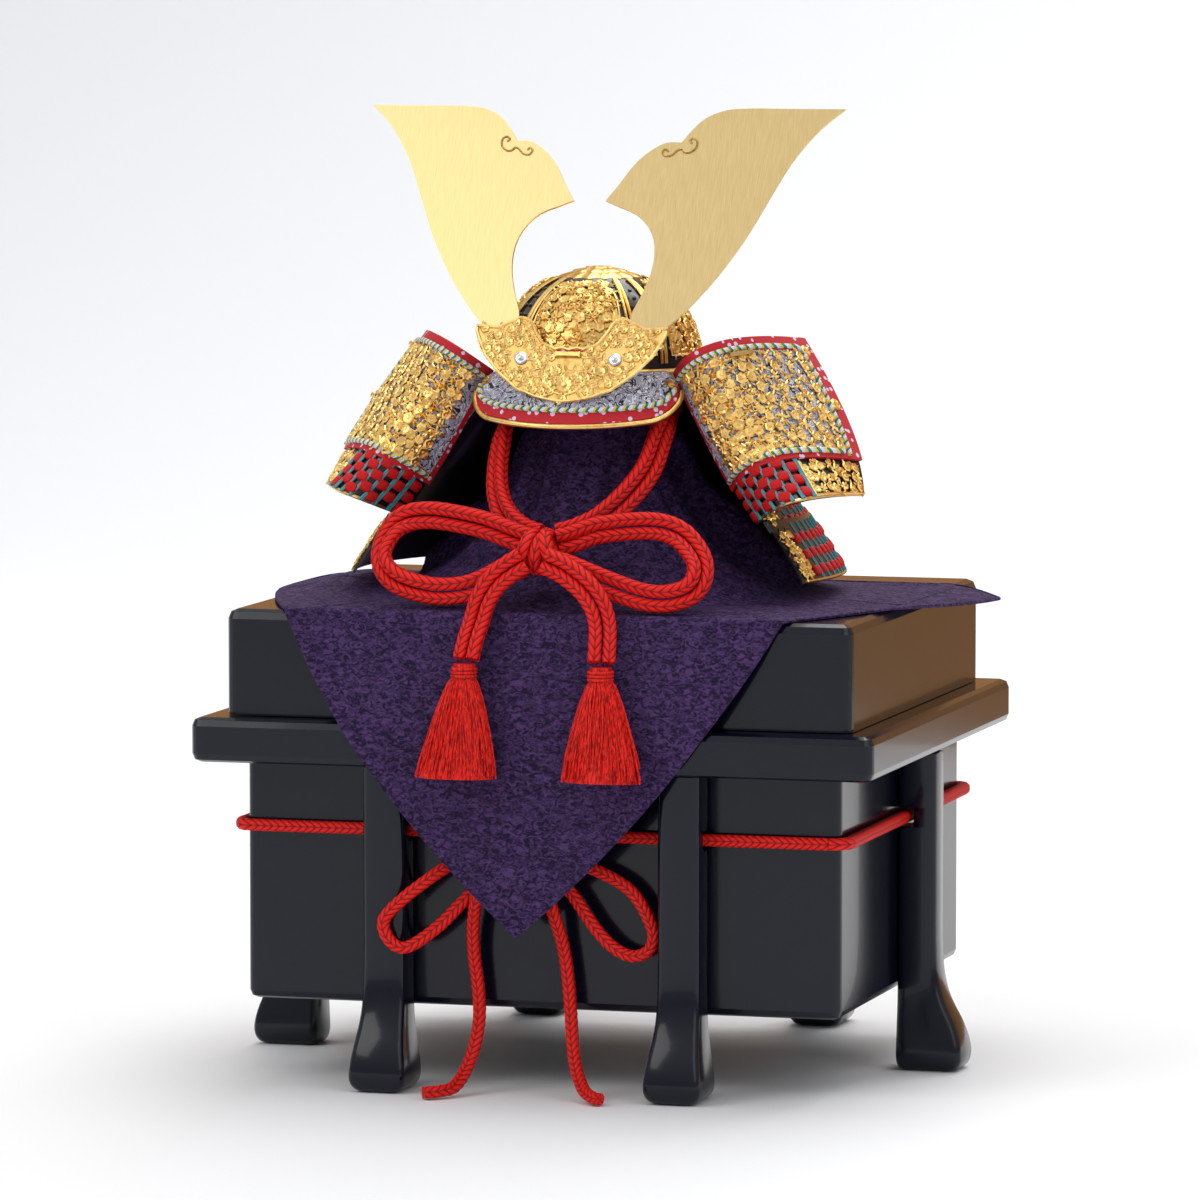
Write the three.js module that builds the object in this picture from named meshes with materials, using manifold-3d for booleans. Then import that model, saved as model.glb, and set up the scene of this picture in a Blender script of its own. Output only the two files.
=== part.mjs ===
import * as THREE from 'three';
import { mergeVertices } from 'three/addons/utils/BufferGeometryUtils.js';
import Module from 'manifold-3d';

const wasm = await Module();
wasm.setup();

// Display kabuto on its storage chest. Millimetres, +Z up, helmet facing -Y,
// origin on the floor under the middle of the chest.

// Clearance between pieces that touch on the real object.
const seat = 0.3;

// Storage chest: body, flat collar round its mouth, cover lid.
const body = { width: 266.5, depth: 218.2, bottom: 35.4, wall: 6, corner: 4, edge: 3.5 };
const collar = { width: 304.8, depth: 261.7, bottom: 140.6, height: 19.5, corner: 5, edge: 3.7 };
const lid = { width: 280, depth: 235.5, height: 46.4, wall: 6, corner: 5, edge: 4.2 };

// Six legs that carry the collar and swell into feet.
const leg = { width: 19, depth: 17.4, chamfer: 3.6, spread: 132, flareOut: 12, flareSide: 3.2 };

// Red rope tied round the chest, behind the legs.
const rope = { diameter: 6, height: 112, notch: 8.4 };

// Cloth post that carries the bowl from inside.
const post = { radius: 25.6, axisY: -16 };

// Purple cloth, a square laid with one corner to the front.
const cloth = { thickness: 1.5, ease: 1.3, frontReach: 339, rightReach: 280, backReach: 262, leftReach: 263, droop: 9 };

// Helmet bowl, its rim band and the plates on it.
const bowl = { radius: 44, rimHeight: 303, wallHeight: 7, rise: 40.6, thickness: 1.4, roundness: 2.1 };
const rimBand = { height: 6.4, thickness: 1.2 };
const bowlPlate = { halfAngle: 29, low: 6, high: 61, thickness: 1 };
const crown = { radius: 18.4, thickness: 1.9, scallop: 0.9, ribRadius: 0.9, ribCount: 8 };

// Visor below the front of the bowl, with a round gold rim.
const visor = { halfAngle: 55, reach: 13.9, drop: 20.5, thickness: 1.6, rimRadius: 1.3 };

// Crescent horn base, its horns, rivets and bar, all on one leaning plane.
const hornLean = 27;
const hornBase = { halfWidth: 43.3, height: 39.6, thickness: 1.2 };
const horn = { reach: 108.3, height: 108.2, thickness: 1.2, start: 36, sweep: 4.2 };
const rivet = { radius: 2.9, height: 1.8 };
const hornBar = { length: 11, height: 2.6, thickness: 1.6 };

// Neck guard of four lames and the turned-back wings at its ends.
const neck = { radius: 108, drop: 85.5, lames: 4, thickness: 1.2, lap: 5 };
const wing = { reach: 121.6, forward: 53, drop: 60.5, thickness: 1.5, split: 0.27, lapShare: 0.06 };
const wingPlate = { thickness: 1 };
const stud = { radius: 2.9, height: 1.5 };

// Doubled chin cord, its bow and tassels.
const chinCord = { diameter: 6.3, knotWidth: 10, knotDepth: 11.5 };
const tassel = { height: 49, neckRadius: 4.4, hemRadius: 19, flatness: 0.46, neckShare: 0.16, locks: 10 };

// Sizes worked out from the ones above.
const deg = Math.PI / 180;
const collarTop = collar.bottom + collar.height;
const lidBottom = collarTop + seat;
const lidTop = lidBottom + lid.height - seat;
const bowlTop = bowl.rimHeight + bowl.wallHeight + bowl.rise;
const postTop = bowlTop - bowl.thickness - 2 * seat - cloth.thickness - seat;

const finish = (color, roughness, metalness) => ({ color, roughness, metalness });
const lacquer = finish(0x0b0b10, 0.22, 0);
const ropeRed = finish(0xd3151b, 0.7, 0);
const purple = finish(0x2c1746, 0.9, 0);
const gold = finish(0xdba53a, 0.32, 1);
const paleGold = finish(0xe6cb86, 0.36, 1);
const silver = finish(0xc9c9c9, 0.25, 1);
const leather = finish(0x8f8f9c, 0.75, 0);
const laced = finish(0xc5161d, 0.75, 0);
const lame = finish(0x14110f, 0.35, 0);
const wood = finish(0x8a6a48, 0.8, 0);

const model = new THREE.Group();

// Adds one named piece to a group.
function piece(parent, name, geometry, look) {
  const mesh = new THREE.Mesh(geometry, new THREE.MeshStandardMaterial(look));
  mesh.name = name;
  parent.add(mesh);
  return mesh;
}

// Geometry with shared corners, as a closed solid needs.
function welded(geometry) {
  geometry.deleteAttribute('normal');
  geometry.deleteAttribute('uv');
  return mergeVertices(geometry, 1e-3);
}

function toSolid(geometry) {
  const mesh = welded(geometry.clone());
  return new wasm.Manifold(new wasm.Mesh({
    numProp: 3,
    vertProperties: new Float32Array(mesh.attributes.position.array),
    triVerts: new Uint32Array(mesh.index.array),
  }));
}

function toGeometry(solid) {
  const mesh = solid.getMesh();
  const geometry = new THREE.BufferGeometry();
  geometry.setAttribute('position', new THREE.BufferAttribute(mesh.vertProperties, 3));
  geometry.setIndex(new THREE.BufferAttribute(mesh.triVerts, 1));
  return geometry;
}

// Moves every corner of a geometry to where a function puts it.
function warp(geometry, place) {
  const corners = geometry.attributes.position;
  for (let i = 0; i < corners.count; i += 1) {
    const to = place(new THREE.Vector3().fromBufferAttribute(corners, i));
    corners.setXYZ(i, to.x, to.y, to.z);
  }
  return geometry;
}

// Mirror image in the plane x = 0.
function mirrored(geometry) {
  const copy = welded(geometry.clone());
  copy.scale(-1, 1, 1);
  const index = copy.index;
  for (let i = 0; i < index.count; i += 3) {
    const first = index.getX(i);
    index.setX(i, index.getX(i + 1));
    index.setX(i + 1, first);
  }
  return copy;
}

// Point above a surface, and the frame of its tangent plane there.
function surfaceFrame(surface, u, v, turn = 0) {
  const step = 1e-3;
  const along = surface(u + step, v).sub(surface(u - step, v)).normalize();
  const across = surface(u, v + step).sub(surface(u, v - step));
  const normal = along.clone().cross(across).normalize();
  const side = normal.clone().cross(along);
  const x = along.clone().multiplyScalar(Math.cos(turn)).addScaledVector(side, Math.sin(turn));
  const y = normal.clone().cross(x);
  return new THREE.Matrix4().makeBasis(x, y, normal).setPosition(surface(u, v));
}

function above(surface, u, v, height) {
  return new THREE.Vector3(0, 0, height).applyMatrix4(surfaceFrame(surface, u, v));
}

// Curved plate between two heights over a surface, for part of its u and v.
function plate(surface, columns, rows, under, over, span = { u: [0, 1], v: [0, 1] }) {
  const block = new THREE.BoxGeometry(1, 1, 1, columns, rows, 1);
  return warp(block, (p) => {
    const u = THREE.MathUtils.lerp(span.u[0], span.u[1], p.x + 0.5);
    const v = THREE.MathUtils.lerp(span.v[0], span.v[1], p.y + 0.5);
    return above(surface, u, v, p.z > 0 ? over : under);
  });
}

// Leaf-shaped prism that cuts one gap of the pierced gold work.
function leaf(length, width, depth) {
  const outline = new THREE.Shape();
  outline.moveTo(-length / 2, 0);
  outline.lineTo(-length / 6, -width / 2);
  outline.lineTo(length / 6, -width / 2);
  outline.lineTo(length / 2, 0);
  outline.lineTo(length / 6, width / 2);
  outline.lineTo(-length / 6, width / 2);
  const prism = new THREE.ExtrudeGeometry(outline, { depth, bevelEnabled: false });
  return prism.translate(0, 0, -depth / 2);
}

// Cast blossom with pointed petals that stands up from the gold work.
function blossom(radius, under, over) {
  const outline = new THREE.Shape();
  for (let i = 0; i < 6; i += 1) {
    const reach = i % 2 === 0 ? radius : radius * 0.7;
    const angle = i * 60 * deg;
    outline.lineTo(reach * Math.cos(angle), reach * Math.sin(angle));
  }
  const raised = new THREE.ExtrudeGeometry(outline, { depth: over - under, bevelEnabled: false });
  return raised.translate(0, 0, under);
}

// Pierced and cast gold plate: blossoms and leaf gaps take turns over a grid of cells.
function openwork(surface, span, heights, cells, sizes) {
  let solid = toSolid(plate(surface, cells.columns, cells.rows, heights.under, heights.over, span));
  const middle = (heights.under + heights.over) / 2;
  for (let i = 0; i < cells.across; i += 1) {
    for (let j = 0; j < cells.up; j += 1) {
      const u = THREE.MathUtils.lerp(span.u[0], span.u[1], (i + 0.5) / cells.across);
      const v = THREE.MathUtils.lerp(span.v[0], span.v[1], (j + 0.5) / cells.up);
      const turn = (i + 2 * j) * 47 * deg;
      const at = surfaceFrame(surface, u, v, turn);
      if ((i + j) % 2 === 0) {
        const raised = blossom(sizes.blossom, middle, heights.over + sizes.relief);
        solid = solid.add(toSolid(raised.applyMatrix4(at)));
      } else {
        solid = solid.subtract(toSolid(leaf(sizes.leaf, sizes.leaf * 0.42, 12).applyMatrix4(at)));
      }
    }
  }
  return solid;
}

// Box with round corners in plan and rounded top and bottom edges.
function roundedOutline(shape, width, depth, corner) {
  const x = width / 2;
  const y = depth / 2;
  shape.moveTo(-x + corner, -y);
  shape.lineTo(x - corner, -y);
  shape.absarc(x - corner, -y + corner, corner, -90 * deg, 0, false);
  shape.absarc(x - corner, y - corner, corner, 0, 90 * deg, false);
  shape.absarc(-x + corner, y - corner, corner, 90 * deg, 180 * deg, false);
  shape.absarc(-x + corner, -y + corner, corner, 180 * deg, 270 * deg, false);
  return shape;
}

function roundedBlock(size, bottom, height) {
  const outline = roundedOutline(new THREE.Shape(), size.width, size.depth, size.corner);
  const block = new THREE.ExtrudeGeometry(outline, {
    depth: height - 2 * size.edge,
    bevelThickness: size.edge,
    bevelSize: size.edge,
    bevelOffset: -size.edge,
    bevelSegments: 2,
    curveSegments: 2,
  });
  return block.translate(0, 0, bottom + size.edge);
}

function straightBlock(width, depth, bottom, height) {
  return new THREE.BoxGeometry(width, depth, height).translate(0, 0, bottom + height / 2);
}

// Solid through level rings, from a closed cylinder whose rings are put in place one by one.
function lofted(sides, levels, place) {
  const column = new THREE.CylinderGeometry(1, 1, 1, sides, levels - 1);
  return warp(column, (p) => {
    const level = Math.round((p.y + 0.5) * (levels - 1));
    const centre = Math.hypot(p.x, p.z) < 1e-6;
    const side = Math.round(Math.atan2(p.x, p.z) / (360 * deg / sides));
    return place(level, (side + sides) % sides, centre);
  });
}

// Tube along chosen points, round or oval, with flat ends.
function tube(points, across, through, sides, steps) {
  const section = new THREE.Shape();
  for (let i = 0; i < sides; i += 1) {
    const angle = (i + 0.5) * 360 * deg / sides;
    section.lineTo(through / 2 * Math.cos(angle), across / 2 * Math.sin(angle));
  }
  const path = new THREE.CatmullRomCurve3(points.map(([x, y, z]) => new THREE.Vector3(x, y, z)));
  return new THREE.ExtrudeGeometry(section, { steps, bevelEnabled: false, extrudePath: path });
}

// Two cords side by side as one oval strand, its flat side facing away from the post.
function doubleStrand(points, diameter, steps) {
  const path = new THREE.CatmullRomCurve3(points.map(([x, y, z]) => new THREE.Vector3(x, y, z)));
  const strandSides = 8;
  return lofted(strandSides, steps + 1, (level, side, centre) => {
    const middle = path.getPointAt(level / steps);
    const along = path.getTangentAt(level / steps);
    if (centre) {
      return middle;
    }
    const away = new THREE.Vector3(middle.x, middle.y - post.axisY, 0).normalize();
    const wide = away.clone().cross(along).normalize();
    const thin = along.clone().cross(wide).normalize();
    const angle = (side + 0.5) * 360 * deg / strandSides;
    return middle.clone()
      .addScaledVector(wide, diameter * Math.cos(angle))
      .addScaledVector(thin, diameter / 2 * Math.sin(angle));
  });
}

// Round knot, a ball with shallow wraps.
function knot(centre, halfWidth, halfDepth, halfHeight) {
  const ball = new THREE.SphereGeometry(1, 10, 6);
  return warp(ball, (p) => new THREE.Vector3(
    centre[0] + halfWidth * p.x,
    centre[1] - halfDepth * p.z,
    centre[2] + halfHeight * p.y,
  ));
}

// Chest body, hollow and open at the top, black lacquered wood.
const chest = new THREE.Group();
model.add(chest);
const bodyHeight = collarTop - body.bottom;
const bodyInside = straightBlock(
  body.width - 2 * body.wall,
  body.depth - 2 * body.wall,
  body.bottom + body.wall,
  bodyHeight,
);
const bodyShell = toSolid(roundedBlock(body, body.bottom, bodyHeight + body.edge))
  .subtract(toSolid(straightBlock(2 * body.width, 2 * body.depth, collarTop, bodyHeight)))
  .subtract(toSolid(bodyInside));
piece(chest, 'chest_body', toGeometry(bodyShell), lacquer);

// Collar, the flat frame round the mouth that the lid stands on.
const collarHole = straightBlock(
  body.width + 2 * seat,
  body.depth + 2 * seat,
  collar.bottom - collar.height,
  3 * collar.height,
);
const collarFrame = toSolid(roundedBlock(collar, collar.bottom, collar.height))
  .subtract(toSolid(collarHole));
piece(chest, 'chest_collar', toGeometry(collarFrame), lacquer);

// Lid, a hollow cover that lifts off.
const lidInside = straightBlock(
  lid.width - 2 * lid.wall,
  lid.depth - 2 * lid.wall,
  lidBottom - lid.edge - lid.wall,
  lidTop - lidBottom + lid.edge,
);
const lidShell = toSolid(roundedBlock(lid, lidBottom - lid.edge, lidTop - lidBottom + lid.edge))
  .subtract(toSolid(straightBlock(2 * lid.width, 2 * lid.depth, lidBottom - lid.height, lid.height)))
  .subtract(toSolid(lidInside));
piece(chest, 'chest_lid', toGeometry(lidShell), lacquer);

// Legs: a chamfered post under the collar that swells into a foot. One row per level,
// as shares of the leg's height and of its flare to the front and to each side.
const legLevels = [
  { height: 0, out: 0.72, side: -0.4, back: 0.12 },
  { height: 0.035, out: 1, side: 1, back: 0 },
  { height: 0.11, out: 0.98, side: 0.95, back: 0 },
  { height: 0.2, out: 0.62, side: 0.45, back: 0 },
  { height: 0.29, out: 0.2, side: 0.1, back: 0 },
  { height: 0.4, out: 0, side: 0, back: 0 },
  { height: 1, out: 0, side: 0, back: 0 },
];
const legHeight = collar.bottom - seat;
const legPost = lofted(8, legLevels.length, (level, side, centre) => {
  const row = legLevels[level];
  const half = leg.width / 2 + row.side * leg.flareSide;
  const front = -leg.depth - row.out * leg.flareOut;
  const back = -row.back * leg.depth;
  const cut = leg.chamfer;
  const ring = [
    [half, front + cut], [half, back - cut], [half - cut, back], [-half + cut, back],
    [-half, back - cut], [-half, front + cut], [-half + cut, front], [half - cut, front],
  ];
  const [x, y] = centre ? [0, (front + back) / 2] : ring[side];
  return new THREE.Vector3(x, y, row.height * legHeight);
});
const ropeSlot = new THREE.BoxGeometry(2 * leg.width, 2 * (rope.diameter + 3 * seat), rope.notch)
  .translate(0, 0, rope.height);
const legShape = toGeometry(toSolid(legPost).subtract(toSolid(ropeSlot)));
const frontFace = -body.depth / 2 - seat;
const sideFace = -body.width / 2 - seat;
const legPlaces = [
  { name: 'leg_front_left', x: -leg.spread / 2, turn: 0, face: frontFace },
  { name: 'leg_front_right', x: leg.spread / 2, turn: 0, face: frontFace },
  { name: 'leg_back_right', x: -leg.spread / 2, turn: 180, face: frontFace },
  { name: 'leg_back_left', x: leg.spread / 2, turn: 180, face: frontFace },
  { name: 'leg_side_right', x: 0, turn: 90, face: sideFace },
  { name: 'leg_side_left', x: 0, turn: -90, face: sideFace },
];
for (const place of legPlaces) {
  const corner = new THREE.Group();
  corner.rotation.z = place.turn * deg;
  chest.add(corner);
  piece(corner, place.name, legShape.clone(), lacquer).position.set(place.x, place.face, 0);
}

// Rope round the chest body, lying against it all the way.
const ropeRadius = rope.diameter / 2;
const ropeSides = 8;
const ropeTurns = 16;
const ropeRing = warp(new THREE.TorusGeometry(2, 1, ropeSides, ropeTurns), (p) => {
  const around = Math.atan2(p.y, p.x) / (360 * deg / ropeTurns);
  const turn = (Math.round(around) + ropeTurns) % ropeTurns;
  const corner = Math.floor(turn / 4);
  const angle = (corner * 90 + (turn % 4) * 30) * deg;
  const signX = corner === 0 || corner === 3 ? 1 : -1;
  const signY = corner < 2 ? 1 : -1;
  const reach = body.corner + seat + ropeRadius * (1 + Math.hypot(p.x, p.y) - 2);
  return new THREE.Vector3(
    signX * (body.width / 2 - body.corner) + reach * Math.cos(angle),
    signY * (body.depth / 2 - body.corner) + reach * Math.sin(angle),
    rope.height + p.z * ropeRadius,
  );
});
piece(chest, 'chest_rope', welded(ropeRing), ropeRed);

// Chosen points of the free cords, in order from the knot to the end.
const ropeRoutes = {
  rope_bow_left: [
    [-6, -119.5, 101.5], [-20, -119.5, 102.5], [-33.8, -121, 100.2], [-49.3, -127.5, 89.6], [-61.6, -131, 78.4],
    [-64.1, -131.2, 71.8], [-60, -131.2, 64.8], [-53, -130.6, 63.6], [-41, -124.5, 72.4], [-26.4, -119.5, 87.4],
    [-14, -119.5, 92.6], [-6, -119.5, 93.5],
  ],
  rope_bow_right: [
    [4, -119.5, 101.5], [12, -119.5, 102], [23.2, -119, 99.8], [42.4, -118, 90.1], [52.2, -117.5, 74.5],
    [51.6, -117, 65], [44.4, -117, 61.2], [36, -117.5, 64.2], [27.5, -118, 72.5], [16.5, -119, 88],
    [10, -119.5, 92.8], [4, -119.5, 93.5],
  ],
  rope_tail_left: [
    [-5, -126, 93], [-16, -125.8, 91.5], [-23.5, -124.5, 85], [-26.4, -121.5, 75], [-27.2, -118.5, 60.7],
    [-25.6, -117.5, 45], [-24.9, -118.5, 31.6], [-26.2, -121.5, 20], [-28.3, -127.5, 10.5],
    [-30.6, -137, 4.6], [-35, -145, 3.4], [-40.8, -149.5, 3.3],
  ],
  rope_tail_right: [
    [3, -126, 93], [7.5, -125.4, 89], [9.7, -122.5, 79], [12, -118.5, 68], [13.7, -117.5, 58.7],
    [15.2, -117.5, 47], [16.4, -118.5, 34], [18.4, -122.5, 22], [22, -129, 12], [27.5, -137.5, 5.4],
    [33, -143.5, 3.4], [37.1, -147, 3.3],
  ],
};
const ropeKnotCentre = [-1, -122.9, 97];
const knotMeasures = [9, 6.9, 9];
piece(chest, 'rope_knot', welded(knot(ropeKnotCentre, ...knotMeasures)), ropeRed);
const ropeKnotRoom = toSolid(knot(ropeKnotCentre, ...knotMeasures.map((half) => half + 2 * seat)));
for (const [name, points] of Object.entries(ropeRoutes)) {
  const strand = toSolid(tube(points, rope.diameter, rope.diameter, 8, 10)).subtract(ropeKnotRoom);
  piece(chest, name, toGeometry(strand), ropeRed);
}

// Stand post under the cloth, with a round head that fills the top of the bowl.
const postProfile = [
  { radius: 0, height: postTop },
  { radius: post.radius * 0.41, height: postTop - 5.8 },
  { radius: post.radius * 0.85, height: postTop - 18.8 },
  { radius: post.radius, height: postTop - 29 },
  { radius: post.radius, height: lidTop + seat },
  { radius: 0, height: lidTop + seat },
];
const postShape = new THREE.LatheGeometry(
  postProfile.map(({ radius, height }) => new THREE.Vector2(radius, height)).reverse(),
  16,
).rotateX(90 * deg);
piece(model, 'stand_post', welded(postShape), wood).position.y = post.axisY;

// Cloth over the post: rings from the middle outwards, radius and height over the lid.
// Rings past these run over the lid to the hem.
const columnRadius = post.radius + cloth.ease;
const clothHead = postTop + seat - lidTop;
const clothRings = [
  { radius: 0, height: 1 },
  { radius: 0.6 * columnRadius, height: 1 - 5.4 / clothHead },
  { radius: columnRadius * 1.02, height: 1 - 26 / clothHead },
  { radius: columnRadius * 1.07, height: 0.5 },
  { radius: columnRadius * 1.62, height: 0.265 },
  { radius: columnRadius * 2.35, height: 0.115 },
  { radius: columnRadius * 3.3, height: 0.02 },
];
const innerRadius = clothRings[clothRings.length - 1].radius;
const hiddenPath = 97;
const corners = [
  { azimuth: -91, reach: cloth.frontReach, span: 76 },
  { azimuth: 28, reach: cloth.rightReach, span: 80 },
  { azimuth: 90, reach: cloth.backReach, span: 80 },
  { azimuth: 158.5, reach: cloth.leftReach, span: 69 },
  { azimuth: 269, reach: cloth.frontReach, span: 0 },
];

// Direction of a ray from the post, and the path along it to the cloth's edge.
// Whole turns are the cloth's corners, and its edges are straight between them.
function clothRay(turn) {
  const side = Math.min(3, Math.floor(turn));
  const share = turn - side;
  const from = corners[side];
  const to = corners[side + 1];
  const span = from.span * deg;
  const reach = from.reach * to.reach * Math.sin(span)
    / (from.reach * Math.sin(share * span) + to.reach * Math.sin((1 - share) * span));
  return { azimuth: THREE.MathUtils.lerp(from.azimuth, to.azimuth, share) * deg, reach };
}

// Folds along a ray: where it passes the lid's edge and, in front and behind, the collar's.
const ledge = (collar.depth - lid.depth) / 2 + 0.7 * cloth.ease;
const ledgeFall = lidTop - (collarTop - collar.edge);
function clothFolds(azimuth) {
  const dx = Math.cos(azimuth);
  const dy = Math.sin(azimuth);
  const toSide = (lid.width / 2 + seat) / Math.abs(dx);
  const toFront = (lid.depth / 2 + seat - Math.sign(dy) * post.axisY) / Math.abs(dy);
  const sideways = toSide < toFront;
  const edge = Math.min(toSide, toFront);
  const slope = Math.hypot(ledge, ledgeFall) / Math.abs(dy);
  return { dx, dy, sideways, edge, slope };
}

// Point of the cloth at a plan distance from the post, over the lid or past its edge.
function laidCloth(azimuth, plan) {
  const { dx, dy, sideways, edge, slope } = clothFolds(azimuth);
  const onLid = Math.min(plan, edge);
  const past = Math.max(0, plan - edge);
  const point = new THREE.Vector3(dx * onLid, post.axisY + dy * onLid, lidTop + seat);
  if (sideways) {
    point.x += past * dx * Math.cos(cloth.droop * deg);
    point.y += past * dy;
    point.z -= past * Math.abs(dx) * Math.sin(cloth.droop * deg);
    return point;
  }
  const onSlope = Math.min(past, slope) / slope;
  point.x += past * dx;
  point.y += Math.sign(dy) * onSlope * ledge;
  point.z -= onSlope * ledgeFall + Math.max(0, past - slope) * Math.abs(dy);
  return point;
}

// The whole cloth: u and v run along the sides of the square, and square rings of it
// become rings round the post.
const clothSteps = 20;
const hemMargin = 3;
function clothSurface(u, v) {
  const a = 2 * u - 1;
  const b = 2 * v - 1;
  const ring = Math.max(Math.abs(a), Math.abs(b)) * clothSteps / 2;
  const around = (Math.atan2(b, a) / (90 * deg) + 1.5 + 4) % 4;
  const { azimuth, reach } = clothRay(around);
  const last = clothRings.length - 1;
  if (ring <= last) {
    const low = Math.min(last - 1, Math.floor(ring));
    const share = ring - low;
    const radius = THREE.MathUtils.lerp(clothRings[low].radius, clothRings[low + 1].radius, share);
    const height = THREE.MathUtils.lerp(clothRings[low].height, clothRings[low + 1].height, share);
    return new THREE.Vector3(
      radius * Math.cos(azimuth),
      post.axisY + radius * Math.sin(azimuth),
      lidTop + seat + height * clothHead,
    );
  }
  const { edge, slope, sideways } = clothFolds(azimuth);
  const hem = reach - hiddenPath;
  const breaks = [innerRadius];
  breaks.push(Math.min(edge, hem - 2 * hemMargin));
  breaks.push(Math.min(sideways ? (breaks[1] + hem) / 2 : edge + slope, hem - hemMargin));
  breaks.push((breaks[2] + hem) / 2);
  breaks.push(hem);
  const outer = Math.min(ring - last, breaks.length - 1 - 1e-9);
  const low = Math.floor(outer);
  const plan = THREE.MathUtils.lerp(breaks[low], breaks[low + 1], outer - low);
  const rest = clothRings[last].height * clothHead * Math.max(0, 1 - outer);
  const settled = laidCloth(azimuth, plan);
  return settled.setZ(settled.z + rest);
}
const lidRoomSize = { ...lid, width: lid.width + 2 * seat, depth: lid.depth + 2 * seat };
const lidRoom = roundedBlock(lidRoomSize, lidBottom, lidTop - lidBottom + seat);
const clothShape = toSolid(plate(clothSurface, clothSteps, clothSteps, 0, cloth.thickness))
  .subtract(toSolid(lidRoom));
piece(model, 'cloth', toGeometry(clothShape), purple);

// Helmet, in a group whose origin is on the bowl's axis at the rim.
const helmet = new THREE.Group();
helmet.position.set(0, post.axisY, bowl.rimHeight);
model.add(helmet);

// Dome of the bowl: radius and height at a rising angle, and a point over it.
function dome(rise) {
  const power = 2 / bowl.roundness;
  return {
    radius: bowl.radius * Math.max(0, Math.cos(rise)) ** power,
    height: bowl.wallHeight + bowl.rise * Math.max(0, Math.sin(rise)) ** power,
  };
}
function domePoint(azimuth, rise) {
  const { radius, height } = dome(rise);
  return new THREE.Vector3(radius * Math.cos(azimuth), radius * Math.sin(azimuth), height);
}

const bowlSteps = 6;
const bowlSides = 20;
const outside = [new THREE.Vector2(bowl.radius, 0)];
const inside = [new THREE.Vector2(bowl.radius - bowl.thickness, 0)];
for (let i = 0; i <= bowlSteps; i += 1) {
  const { radius, height } = dome(i / bowlSteps * 90 * deg);
  const shrink = (bowl.radius - bowl.thickness) / bowl.radius;
  const tip = i === bowlSteps;
  outside.push(new THREE.Vector2(tip ? 0 : radius, height));
  inside.push(new THREE.Vector2(tip ? 0 : radius * shrink, height - bowl.thickness * i / bowlSteps));
}
const bowlProfile = [...inside.reverse(), ...outside];
const bowlShape = new THREE.LatheGeometry(bowlProfile, bowlSides).rotateX(90 * deg);
piece(helmet, 'bowl', welded(bowlShape), lacquer);

// Gold band round the rim.
const bandInner = bowl.radius + seat;
const bandOuter = bandInner + rimBand.thickness;
const bandProfile = [
  new THREE.Vector2(bandInner, 0),
  new THREE.Vector2(bandOuter, 0),
  new THREE.Vector2(bandOuter, rimBand.height),
  new THREE.Vector2(bandInner, rimBand.height),
  new THREE.Vector2(bandInner, 0),
];
piece(helmet, 'bowl_rim', welded(new THREE.LatheGeometry(bandProfile, bowlSides).rotateX(90 * deg)), gold);

// Four pierced plates on the bowl.
const plateNames = { bowl_plate_front: -90, bowl_plate_right: 0, bowl_plate_back: 90, bowl_plate_left: 180 };
const plateSizes = { blossom: 3.1, relief: 0.8, leaf: 6.4 };
const plateCells = { columns: 5, rows: 4, across: 3, up: 2 };
const plateGap = 0.65;
for (const [name, facing] of Object.entries(plateNames)) {
  const surface = (u, v) => domePoint(
    (facing + THREE.MathUtils.lerp(-bowlPlate.halfAngle, bowlPlate.halfAngle, u)) * deg,
    THREE.MathUtils.lerp(bowlPlate.low, bowlPlate.high, v) * deg,
  );
  const heights = { under: plateGap, over: plateGap + bowlPlate.thickness };
  const whole = { u: [0, 1], v: [0, 1] };
  const shape = openwork(surface, whole, heights, plateCells, plateSizes);
  piece(helmet, name, toGeometry(shape), gold);
}

// Scalloped crown plate with the ribs that run down from it.
const crownRise = Math.acos((crown.radius / bowl.radius) ** (bowl.roundness / 2));
const crownSurface = (u, v) => domePoint(u * 360 * deg, THREE.MathUtils.lerp(crownRise, 89 * deg, v));
const crownRows = 3;
const crownProfile = [];
for (let i = 0; i < crownRows; i += 1) {
  const under = above(crownSurface, 0, 1 - i / (crownRows - 1), seat);
  crownProfile.push(new THREE.Vector2(i === 0 ? 0 : under.x, under.z));
}
for (let i = crownRows - 1; i >= 0; i -= 1) {
  const over = above(crownSurface, 0, 1 - i / (crownRows - 1), seat + crown.thickness);
  crownProfile.push(new THREE.Vector2(i === 0 ? 0 : over.x, over.z));
}
const crownPlate = new THREE.LatheGeometry(crownProfile, 20).rotateX(90 * deg);
warp(crownPlate, (p) => {
  const radius = Math.hypot(p.x, p.y);
  const wave = Math.cos(10 * Math.atan2(p.y, p.x));
  const grow = 1 + crown.scallop / crown.radius * wave * (radius / crown.radius) ** 4;
  return new THREE.Vector3(p.x * grow, p.y * grow, p.z);
});
let crownSolid = toSolid(crownPlate);
for (let i = 0; i < crown.ribCount; i += 1) {
  const side = i % 2 === 0 ? -1 : 1;
  const azimuth = (Math.floor(i / 2) * 90 + 45 + side * 10) * deg;
  const surface = (u, v) => domePoint(azimuth + u, v);
  const points = [0, 1, 2, 3].map((step) => {
    const rise = THREE.MathUtils.lerp(4 * deg, crownRise + 4 * deg, step / 3);
    return above(surface, 0, rise, seat + 0.2 + crown.ribRadius).toArray();
  });
  const rib = tube(points, 2 * crown.ribRadius, 2 * crown.ribRadius, 4, 4);
  crownSolid = crownSolid.add(toSolid(rib));
}
piece(helmet, 'crown', toGeometry(crownSolid), gold);

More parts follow.
